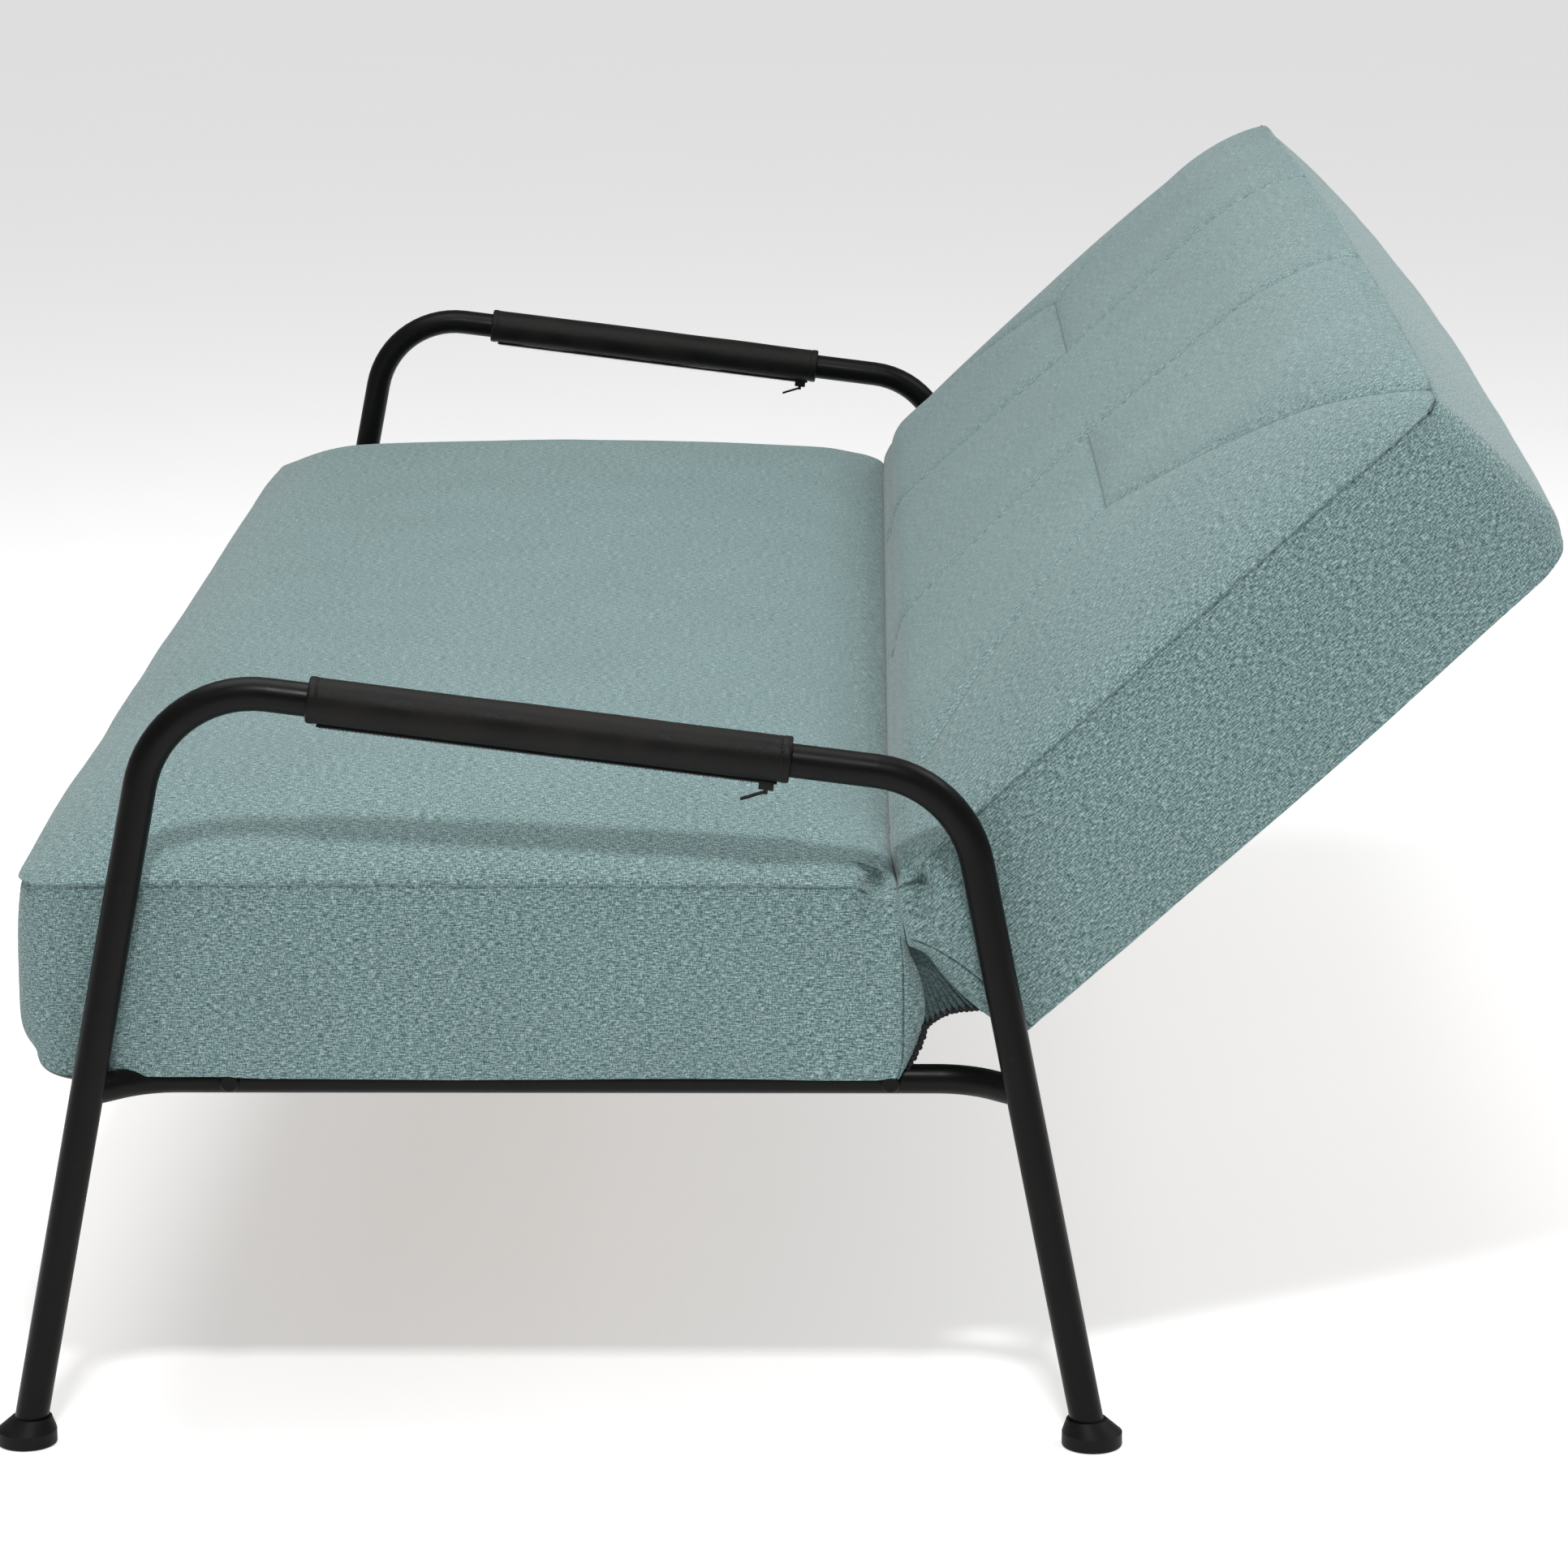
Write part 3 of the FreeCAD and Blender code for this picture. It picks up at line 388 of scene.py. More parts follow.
@dataclass(frozen=True)
class MelangeCloth:
    """Two-tone woven upholstery cloth: pale and dark slubbed yarns, darker along the sewn lines, and over
    the fold web as painted shade.
    """

    name: str = "cover_fabric"
    dark: Colour = (0.033, 0.070, 0.084, 1.0)
    middle: Colour = (0.132, 0.210, 0.213, 1.0)
    pale: Colour = (0.385, 0.500, 0.478, 1.0)
    # dark colour of the seams, also laid over the whole fold web as painted shade
    sewn: Colour = (0.014, 0.026, 0.028, 1.0)
    yarn: float = 0.9 * MM
    slub: float = 5.5 * MM

    def material(self) -> bpy.types.Material:
        """Builds the node material."""
        bench = Bench(self.name, Metallic=0.0, Roughness=0.95, Specular_IOR_Level=0.12, Sheen_Weight=0.18)
        bench.shader.inputs["Sheen Roughness"].default_value = 0.5
        place = bench.uv_place("panel")
        across, along = 1 / self.yarn, 1 / self.slub
        weft = bench.noise(bench.stretched(place, (along, across, 1.0)), 1.0, 2.0, 0.6)
        warp = bench.noise(bench.stretched(place, (across, along * 1.6, 1.0)), 1.0, 2.0, 0.6)
        flecks = bench.noise(place, 0.75 / self.yarn, 1.0)
        yarns = bench.sum("ADD", bench.sum("MULTIPLY", weft, 0.46), bench.sum("MULTIPLY", warp, 0.30))
        tone = bench.sum("ADD", yarns, bench.sum("MULTIPLY", flecks, 0.24))
        stops = [(0.39, self.dark), (0.495, self.middle), (0.61, self.pale)]
        colour = bench.ramp(tone, stops)
        cloud = bench.noise(place, 9.0, 2.0)
        shade = bench.ramp(cloud, [(0.3, grey(0.93)), (0.7, grey(1.0))])
        colour = bench.blended("MULTIPLY", 1.0, colour, shade)
        # the "seam" mark darkens the real seams, and the whole fold web as painted shade
        seam = bench.add("Attribute", attribute_name="seam").outputs["Fac"]
        dark = bench.levels(seam, (0.25, 1.0), (0.0, 0.75))
        bench.into("Base Color", bench.blended("MIX", dark, colour, self.sewn))
        bench.into("Normal", bench.bump(tone, 0.5, 0.0007))
        return bench.material


@dataclass(frozen=True)
class Lining:
    """Thin dark non-woven dust cloth with its pressed dot pattern."""

    name: str = "cover_lining"
    colour: Colour = grey(0.018)

    def material(self) -> bpy.types.Material:
        """Builds the node material."""
        bench = Bench(self.name, Metallic=0.0, Roughness=0.9, Specular_IOR_Level=0.2)
        place = bench.uv_place("panel")
        dots = bench.add("TexVoronoi", {"Vector": place, "Scale": 520.0, "Randomness": 0.0})
        pressed = bench.levels(dots.outputs["Distance"], (0.12, 0.3), (0.0, 1.0))
        felt = bench.noise(place, 900.0, 3.0)
        bench.into("Base Color", bench.ramp(felt, [(0.3, grey(0.010)), (0.7, self.colour)]))
        bench.into("Normal", bench.bump(pressed, 0.3, 0.0003))
        return bench.material


@dataclass
class FinishShop:
    """Makes each finish once and puts it on pieces."""

    made: dict[str, bpy.types.Material] = field(default_factory=dict)

    def stock(self) -> None:
        """Makes every finish of the sofa."""
        recipes = [
            PowderCoat(),
            MouldedPlastic("foot_plastic"),
            MouldedPlastic("holder_plastic", grey(0.014), 0.58),
            Leatherette(),
            WovenTape(),
            Steel("zip_metal", grey(0.022), 0.45),
            Steel("zinc_steel", (0.62, 0.63, 0.64, 1.0), 0.32),
            Steel("hinge_steel", grey(0.035), 0.42),
            BentPly(),
            MelangeCloth(),
            Lining(),
        ]
        self.made = {recipe.name: recipe.material() for recipe in recipes}

    def dress(self, piece: bpy.types.Object, *names: str) -> None:
        """Gives a piece its finishes, in the order of its material slots."""
        if piece.data.materials:
            piece.data.materials.clear()
        for name in names:
            piece.data.materials.append(self.made[name])

    def dress_node(self, node: str, name: str) -> None:
        """Gives a carried-over node one finish."""
        self.dress(frame["nodes"][node], name)


def shade(mesh: bpy.types.Mesh, smooth: bool) -> None:
    """Shades every face of a mesh smooth or flat."""
    mesh.polygons.foreach_set("use_smooth", [smooth] * len(mesh.polygons))


def chamfer(bm: bmesh.types.BMesh, width: float) -> None:
    """Takes one small flat off every edge."""
    bmesh.ops.bevel(
        bm,
        geom=bm.edges[:],
        offset=width,
        affect="EDGES",
        segments=1,
        profile=0.5,
        material=-1,
    )


def placed(name: str, mesh_source: bmesh.types.BMesh) -> bpy.types.Object:
    """Turns a finished bmesh into a smooth-shaded object at the origin.

    Args:
        name: the object's name.
        mesh_source: the bmesh, which is freed.

    Returns:
        The object, linked to the scene.
    """
    mesh = bpy.data.meshes.new(name)
    mesh_source.to_mesh(mesh)
    mesh_source.free()
    shade(mesh, True)
    piece = bpy.data.objects.new(name, mesh)
    bpy.context.scene.collection.objects.link(piece)
    return piece


def settled(piece: bpy.types.Object) -> None:
    """Applies a piece's modifiers to its mesh."""
    graph = bpy.context.evaluated_depsgraph_get()
    mesh = bpy.data.meshes.new_from_object(
        piece.evaluated_get(graph), preserve_all_data_layers=True, depsgraph=graph
    )
    piece.modifiers.clear()
    piece.data = mesh


# ---- the fold ------------------------------------------------------------------------------------


@dataclass
class Fold:
    """The hinge line between the halves, with the turn from flat to rest."""

    joint_name: str = "back_recline"
    blend_reach: float = 50 * MM

    def __post_init__(self) -> None:
        """Reads the joint."""
        joint = next(row for row in frame["joints"] if row["name"] == self.joint_name)
        self.parent: str = joint["parent"]
        self.child: str = joint["child"]
        place = Vector(joint["pos_m"])
        self.centre = Vector((0.0, place.y, place.z))
        self.turn = -math.radians(joint["range_deg"][0])
        self.meeting = math.tan(self.turn / 2)

    def place(self, half: Half, point: Vector) -> Vector:
        """Row-frame place of a point of a half.

        Args:
            half: the seat or the back.
            point: X, distance from the hinge line along the half, and height square to the half.

        Returns:
            The place at rest.
        """
        if half is Half.SEAT:
            return self.centre + Vector((point.x, -point.y, point.z))
        raised = Matrix.Rotation(self.turn, 3, "X") @ Vector((0.0, point.y, point.z))
        return self.centre + Vector((point.x, raised.y, raised.z))

    def blend(self, piece: bpy.types.Object) -> None:
        """Bakes a cloth piece's transform into its mesh."""
        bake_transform(piece)


# ---- mattress ------------------------------------------------------------------------------------


@dataclass
class SewnLine:
    """A straight sewn line on a top panel, from one X and distance to another."""

    start: tuple[float, float]
    end: tuple[float, float]
    run_out: float = 0.0

    def offset(self, x: float, d: float) -> tuple[float, float]:
        """Where a point lies beside the line.

        Args:
            x: the point's X.
            d: the point's distance from the hinge line.

        Returns:
            The distance square to the line, and the share of the line's length.
        """
        first, last = Vector(self.start), Vector(self.end)
        way = last - first
        step = Vector((x, d)) - first
        share = step.dot(way) / way.length_squared
        return abs(way.normalized().cross(step)), share


@dataclass(frozen=True)
class Hollow:
    """A dent in gathered cloth: its middle along and above the half, its reach each way and its depth."""

    along: float
    above: float
    wide: float
    tall: float
    depth: float


# the puckers where the fold meets the mattress's end; a negative depth is a ridge
PUCKERS: dict[Half, tuple[Hollow, ...]] = {
    Half.SEAT: (
        Hollow(22 * MM, 27 * MM, 9 * MM, 9 * MM, 22 * MM),
        Hollow(27 * MM, 8 * MM, 6 * MM, 16 * MM, 13 * MM),
        Hollow(55 * MM, 30 * MM, 26 * MM, 9 * MM, 4 * MM),
        Hollow(11 * MM, 30 * MM, 4 * MM, 9 * MM, 8 * MM),
        Hollow(11 * MM, 8 * MM, 9 * MM, 11 * MM, -5 * MM),
    ),
    Half.BACK: (
        Hollow(22 * MM, 17 * MM, 8 * MM, 12 * MM, 20 * MM),
        Hollow(14 * MM, -2 * MM, 6 * MM, 11 * MM, 10 * MM),
        Hollow(34 * MM, 42 * MM, 24 * MM, 10 * MM, 5 * MM),
        Hollow(12 * MM, 30 * MM, 5 * MM, 9 * MM, 8 * MM),
        Hollow(4 * MM, 4 * MM, 9 * MM, 11 * MM, -5 * MM),
    ),
}


@dataclass
class MattressHalf:
    """One crowned, cloth-covered half of the mattress.

    The mesh is shaped flat, in X, distance from the hinge line (d) and height above it (v).
    """

    half: Half
    fold: Fold
    length: float
    crown: float
    end_shoulder: float
    end_fullness: float
    lower_radius: float
    underside: float
    peak: float
    peak_reach: float
    peak_fall: float
    bow: float = 0.0
    skew: float = 0.0
    seam_rise: float = 0.0
    sewn_lines: list[SewnLine] = field(default_factory=list)
    half_width: float = 957 * MM
    seam_height: float = 20 * MM
    hem_height: float = -125 * MM
    lip: float = 3.2 * MM
    grid: float = 15 * MM
    far_shoulder: float = 95 * MM
    fold_shoulder: float = 62 * MM
    crease_height: float = 31.5 * MM
    corner_radius: float = 38 * MM
    contact_end: float = -16 * MM
    strip_column: float = 20 * MM
    tuck: float = 14 * MM
    strip_bulge: float = 18 * MM
    seat_hem_lift: float = 2 * MM
    back_hem_lift: float = 1 * MM
    hem_sag: float = 3 * MM
    end_slope: float = 0.18
    end_apex: float = -20 * MM
    wrap: float = 45 * MM
    pucker_reach: float = 45 * MM
    bow_start: float = 340 * MM
    swell: float = 5 * MM
    swell_fade: float = 30 * MM
    far_lean: float = 5 * MM
    face_reach: float = 80 * MM
    face_inset: float = 13 * MM
    open_gap: float = 16 * MM
    opening: float = 16 * MM
    seam_sink: float = 1.8 * MM
    stitch_sink: float = 2.6 * MM
    valley_sink: float = 2.2 * MM
    cut_apart: float = 2.2 * MM

    def block(self) -> bmesh.types.BMesh:
        """Box cut into a grid, with closer loops beside its seams, and each panel's own UV."""
        bm = bmesh.new()
        bmesh.ops.create_cube(bm, size=1.0)
        size = Vector((2 * self.half_width, self.length, self.seam_height - self.hem_height))
        middle = Vector((0.0, self.length / 2, (self.seam_height + self.hem_height) / 2))
        bmesh.ops.scale(bm, vec=size, verts=bm.verts)
        bmesh.ops.translate(bm, vec=middle, verts=bm.verts)
        for axis in range(3):
            along = [edge for edge in bm.edges if self.runs_along(edge, axis)]
            cuts = max(6, round(size[axis] / self.grid))
            bmesh.ops.subdivide_edges(bm, edges=along, cuts=cuts, use_grid_fill=True)
        self.close_loops(bm)
        self.lay_out_cloth(bm)
        return bm

    @staticmethod
    def runs_along(edge: bmesh.types.BMEdge, axis: int) -> bool:
        """True if an edge of the box runs along an axis."""
        way = edge.verts[1].co - edge.verts[0].co
        return abs(way[axis]) > 0.99 * way.length

    def close_loops(self, bm: bmesh.types.BMesh) -> None:
        """Cuts the extra loops beside the seams, the lip and the strip at the fold."""
        beside = 1.8 * MM
        planes: list[tuple[int, float]] = []
        for sign in (-1, 1):
            gaps = (0.5 * self.lip, self.lip, 2 * self.lip, 12 * MM, 20 * MM, 28 * MM)
            planes += [(0, sign * (self.half_width - gap)) for gap in gaps]
        planes += [(1, self.length - gap) for gap in (beside, self.lip, 2 * self.lip)]
        planes += [(1, beside)]
        planes += [(1, self.strip_column + step * beside) for step in (-1, 0, 1)]
        planes += [(1, step * 5 * MM) for step in range(1, 10)]
        planes += [(2, self.seam_height - beside), (2, self.hem_height + beside)]
        planes += [(2, self.seam_height - step * 6 * MM) for step in range(1, 8)]
        for axis, place in planes:
            normal = [0.0, 0.0, 0.0]
            normal[axis] = 1.0
            centre = [0.0, 0.0, 0.0]
            centre[axis] = place
            geometry = bm.verts[:] + bm.edges[:] + bm.faces[:]
            bmesh.ops.bisect_plane(bm, geom=geometry, dist=TOUCHING, plane_co=centre, plane_no=normal)

    def lay_out_cloth(self, bm: bmesh.types.BMesh) -> None:
        """Keeps each panel's flat layout as UV, its weft along the length, and each point's flat place."""
        bm.normal_update()
        uv = bm.loops.layers.uv.new("panel")
        flat = bm.verts.layers.float_vector.new("flat")
        for vert in bm.verts:
            vert[flat] = vert.co
        for face in bm.faces:
            normal = face.normal
            for loop in face.loops:
                x, d, v = loop.vert.co
                if abs(normal.z) > 0.5:
                    loop[uv].uv = (d, x)
                    face.material_index = 1 if normal.z < 0 and self.is_inside(face) else 0
                elif abs(normal.x) > 0.5:
                    loop[uv].uv = (d, v + normal.x)
                else:
                    loop[uv].uv = (x + 2 * normal.y, v)

    def is_inside(self, face: bmesh.types.BMFace) -> bool:
        """True for a face of the underside that the cover doesn't wrap under."""
        centre = face.calc_center_median()
        beyond = self.half_width - self.wrap
        return abs(centre.x) < beyond and self.wrap < centre.y < self.length - self.wrap

    def crown_height(self, x: float, d: float) -> float:
        """Height of the top panel away from its edges."""
        from_peak = (d - self.peak) / self.peak_reach
        return self.crown - self.peak_fall * min(from_peak * from_peak, 1.4)

    def face_place(self, v: float, at_end: float) -> float:
        """Distance of the face beside the fold at a height.

        Args:
            v: the height.
            at_end: 1 on the outermost part of the half and 0 over the rest.

        Returns:
            The face's distance from the hinge line.
        """
        touching = mix(v * self.fold.meeting + 0.3 * MM, self.end_meeting(v), at_end)
        share = (self.contact_end - v) / (self.contact_end - self.hem_height)
        if self.half is Half.SEAT:
            belly = math.sin(math.pi * min(max(share, 0.0), 1.0) ** 1.1)
            end = 3.6 * MM - self.strip_bulge * belly
        else:
            end = -13 * MM * math.sin(math.pi * min(max(share, 0.0), 1.0) ** 0.8) ** 0.6
        open_place = mix(self.open_gap, end, at_end)
        opened = ease((self.contact_end + 12 * MM * (1 - at_end) - v) / self.opening)
        return mix(touching, open_place, opened)

    def end_meeting(self, v: float) -> float:
        """Distance at which the halves meet at their ends, which is nearer upright than in the middle."""
        if self.half is Half.SEAT:
            return self.end_slope * (v - self.end_apex) + 0.3 * MM
        lean, rise = math.cos(self.fold.turn), math.sin(self.fold.turn)
        across = v * (rise - self.end_slope * lean) + self.end_slope * self.end_apex
        return across / (lean + self.end_slope * rise) + 0.3 * MM

    def strip_place(self, v: float) -> float:
        """Distance of the sewn line that ends the end panel, at a height."""
        below = max(self.contact_end - v, 0.0)
        if self.half is Half.SEAT:
            return 2.0 * MM
        return mix(-12 * MM, 5 * MM, shoulder(below, 70 * MM, 1.7)) + 0.05 * below

    def shaped(self, point: Vector) -> Vector:
        """Moves a point of the box to its place on the padded form.

        Args:
            point: a point of the box.

        Returns:
            Its place in the flat half.
        """
        x, d, v = point
        sign = math.copysign(1.0, x)
        from_end = self.half_width - abs(x)
        from_far = self.length - d
        depth = (self.seam_height - v) / (self.seam_height - self.hem_height)
        on_top = v > self.seam_height - TOUCHING
        at_end = 1 - ease((from_end - 20 * MM) / (12 * MM))
        near_fold = 1 - ease(d / (60 * MM))

        # edges of the box first: round the far corners in plan, and the far lower edge
        x, d = self.rounded(abs(x), d, self.half_width, self.length, self.corner_radius)
        low = -self.hem_height
        d, lowered = self.rounded(d, -v, self.length, low, self.lower_radius)
        v = -lowered

        # crown of the top panel
        middle = point.x / self.half_width
        near_far = ease((point.y - self.bow_start) / (self.length - self.bow_start))
        crease = mix(self.seam_height, self.crease_height, shoulder(from_end, 60 * MM, 1.6) * near_fold)
        crease += self.seam_rise * (1 - middle * middle) * near_far
        if on_top:
            full = shoulder(from_end, self.end_shoulder, self.end_fullness)
            full *= shoulder(from_far, self.far_shoulder, 1.8)
            full *= shoulder(point.y, self.fold_shoulder, 1.7)
            v = crease + (self.crown_height(x, point.y) - crease) * full
        else:
            v += (crease - self.seam_height) * (1 - depth)

        # the panels round the edge swell a little between the seam and the hem
        swell = self.swell * abs(2 * depth - 1) ** 2.4 * (1.0 if depth < 0.5 else 0.15)
        lean = self.far_lean * depth if self.half is Half.BACK else 0.0
        if not on_top or from_end < TOUCHING:
            x -= swell * (1 - ease(from_end / self.swell_fade))
        if not on_top or from_far < TOUCHING:
            d += (lean - swell) * (1 - ease(from_far / self.swell_fade))

        # the face beside the fold, and the strip between it and the end panel's last sewn line
        c = point.y
        if c < self.face_reach:
            face = self.face_place(v, at_end)
            seam = mix(face + self.strip_column, max(self.strip_place(v), face + 3 * MM), at_end)
            if c < self.strip_column:
                d = mix(face, seam, c / self.strip_column)
            else:
                share = (c - self.strip_column) / (self.face_reach - self.strip_column)
                d = mix(seam, self.face_reach, share**1.1)
            open_part = ease((self.contact_end - v) / (10 * MM))
            if c < self.strip_column:
                x -= self.face_inset * open_part * at_end * (1 - c / self.strip_column) ** 1.6

        # the far edge bows outward, more towards the left end
        out = self.bow * (1 - middle * middle) + self.skew * (1 - middle) / 2
        d += out * near_far

        # the underside lies on the slats; only a thin lip hangs beside the frame
        if from_end > 1.5 * self.lip and from_far > 1.5 * self.lip:
            v = max(v, self.underside - self.tuck * (1 - ease((from_far - 24 * MM) / (20 * MM))))
        else:
            v += self.lifted_hem(d, depth)
        return Vector((sign * x, d, v))

    def lifted_hem(self, d: float, depth: float) -> float:
        """Rise of the hem where the side rail bends out under it."""
        low = ease((depth - 0.75) / 0.25)
        if self.half is Half.SEAT:
            return self.seat_hem_lift * ease((d - 0.475) / 0.04) * low
        over = ease((d - 0.005) / 0.02) * (1 - ease((d - 0.075) / 0.03))
        along = min(max(d / self.length, 0.0), 1.0)
        return (self.back_hem_lift * over - self.hem_sag * math.sin(math.pi * along)) * low

    @staticmethod
    def rounded(a: float, b: float, a_edge: float, b_edge: float, radius: float) -> tuple[float, float]:
        """Rounds the corner where two coordinates both near their edges.

        Args:
            a: one coordinate.
            b: the other.
            a_edge: where the first has its edge.
            b_edge: where the second has its edge.
            radius: of the rounding.

        Returns:
            The two coordinates, moved onto the rounding.
        """
        out = Vector((a - (a_edge - radius), b - (b_edge - radius)))
        if out.x <= 0 or out.y <= 0:
            return a, b
        out *= max(out) / out.length
        return a_edge - radius + out.x, b_edge - radius + out.y

    def puckered(self, point: Vector, flat: Vector) -> Vector:
        """Gathers the cloth where the fold meets the end: hollows with soft ridges between."""
        if abs(flat.x) < self.half_width - 0.16 or flat.y > 0.14:
            return point
        sign = math.copysign(1.0, flat.x)
        inward = self.half_width - abs(point.x)
        moved = point.copy()
        for hollow in PUCKERS[self.half]:
            near = bump_at(point.y - hollow.along, hollow.wide)
            near *= bump_at(point.z - hollow.above, hollow.tall)
            near *= bump_at(inward, self.pucker_reach)
            moved.x -= sign * hollow.depth * near
            moved.z -= hollow.depth * 0.6 * near
        return moved

    def wrinkled(self, point: Vector, flat: Vector) -> float:
        """Slow unevenness of the stuffed surface, as a height."""
        slow = noise.noise(Vector((flat.x * 5, flat.y * 6, flat.z * 6 + 7)))
        quick = noise.noise(Vector((flat.x * 17, flat.y * 21, flat.z * 22 + 3)))
        return 1.6 * MM * slow + 0.35 * MM * quick

    def sew(self, bm: bmesh.types.BMesh) -> None:
        """Cuts the sewn lines into the top panel, sinks them and marks them, with the seams, as "seam"."""
        flat = bm.verts.layers.float_vector["flat"]
        for line in self.sewn_lines:
            way = (Vector(line.end) - Vector(line.start)).normalized()
            across = Vector((way.y, -way.x, 0.0))
            start = Vector((*line.start, 0.0))
            for step in (-self.cut_apart, 0.0, self.cut_apart):
                faces = [face for face in bm.faces if self.under_line(face, line, flat)]
                edges = list({edge for face in faces for edge in face.edges})
                verts = list({vert for face in faces for vert in face.verts})
                bmesh.ops.bisect_plane(
                    bm,
                    geom=verts + edges + faces,
                    dist=0.05 * MM,
                    plane_co=start + across * step,
                    plane_no=across,
                )
        seam = bm.verts.layers.float.new("seam")
        for vert in bm.verts:
            x, d, v = vert[flat]
            mark = self.seam_mark(abs(x), d, v)
            sunk = self.seam_sink * mark
            if v > self.seam_height - 1 * MM:
                for line in self.sewn_lines:
                    off, share = line.offset(vert.co.x, vert.co.y)
                    if -line.run_out < share < 1.01 and off < 70 * MM:
                        stitch = self.stitch_sink * bump_at(off, 5 * MM)
                        sunk = max(sunk, stitch + self.valley_sink * bump_at(off, 26 * MM))
                        mark = max(mark, 0.75 * bump_at(off, 1.2 * MM))
            vert[seam] = mark
            if sunk > 0:
                vert.co -= vert.normal * sunk

    def under_line(self, face: bmesh.types.BMFace, line: SewnLine, flat: object) -> bool:
        """True for a top face that a sewn line passes over or nearly."""
        centre = face.calc_center_median()
        if centre.z < 10 * MM or face.normal.z < 0.1 or face.verts[0][flat].z < self.seam_height - 1 * MM:
            return False
        off, share = line.offset(centre.x, centre.y)
        return off < 14 * MM and -line.run_out < share < 1.005

    def seam_mark(self, x: float, d: float, v: float) -> float:
        """How near a point of the flat cloth is to a joining seam, from 0 to 1."""
        fine = 1.1 * MM
        wide = fine * (2.0 if self.half is Half.BACK else 1.3)
        at_end = 0.48 * bump_at(self.half_width - x, fine) * bump_at(v - self.seam_height, fine)
        at_far = bump_at(self.length - d, wide) * bump_at(v - self.seam_height, wide)
        edge = max(at_end, at_far)
        open_part = ease((self.contact_end + 4 * MM - v) / (6 * MM))
        on_end = bump_at(self.half_width - x, fine)
        strip = bump_at(d - self.strip_column, fine) * on_end * open_part
        return max(edge, strip)

    def build(self, shop: FinishShop) -> bpy.types.Object:
        """Args:
            shop: where its finishes come from.

        Returns:
            The piece.
        """
        bm = self.block()
        flat = bm.verts.layers.float_vector["flat"]
        for vert in bm.verts:
            vert.co = self.puckered(self.shaped(vert.co), vert[flat])
        bm.normal_update()
        for vert in bm.verts:
            if vert[flat].y > 0.03:
                vert.co += vert.normal * self.wrinkled(vert.co, vert[flat])
        piece = placed(f"{self.half.value}_mattress", bm)
        smooth = piece.modifiers.new("smooth", "SUBSURF")
        smooth.levels = 1
        smooth.render_levels = 1
        settled(piece)
        bm = bmesh.new()
        bm.from_mesh(piece.data)
        self.sew(bm)
        for vert in bm.verts:
            vert.co = self.fold.place(self.half, vert.co)
        if self.half is Half.SEAT:
            bmesh.ops.reverse_faces(bm, faces=bm.faces)
        bm.to_mesh(piece.data)
        bm.free()
        shade(piece.data, True)
        shop.dress(piece, "cover_fabric", "cover_lining")
        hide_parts(f"{self.half.value}_cover", f"{self.half.value}_foam")
        self.fold.blend(piece)
        return piece


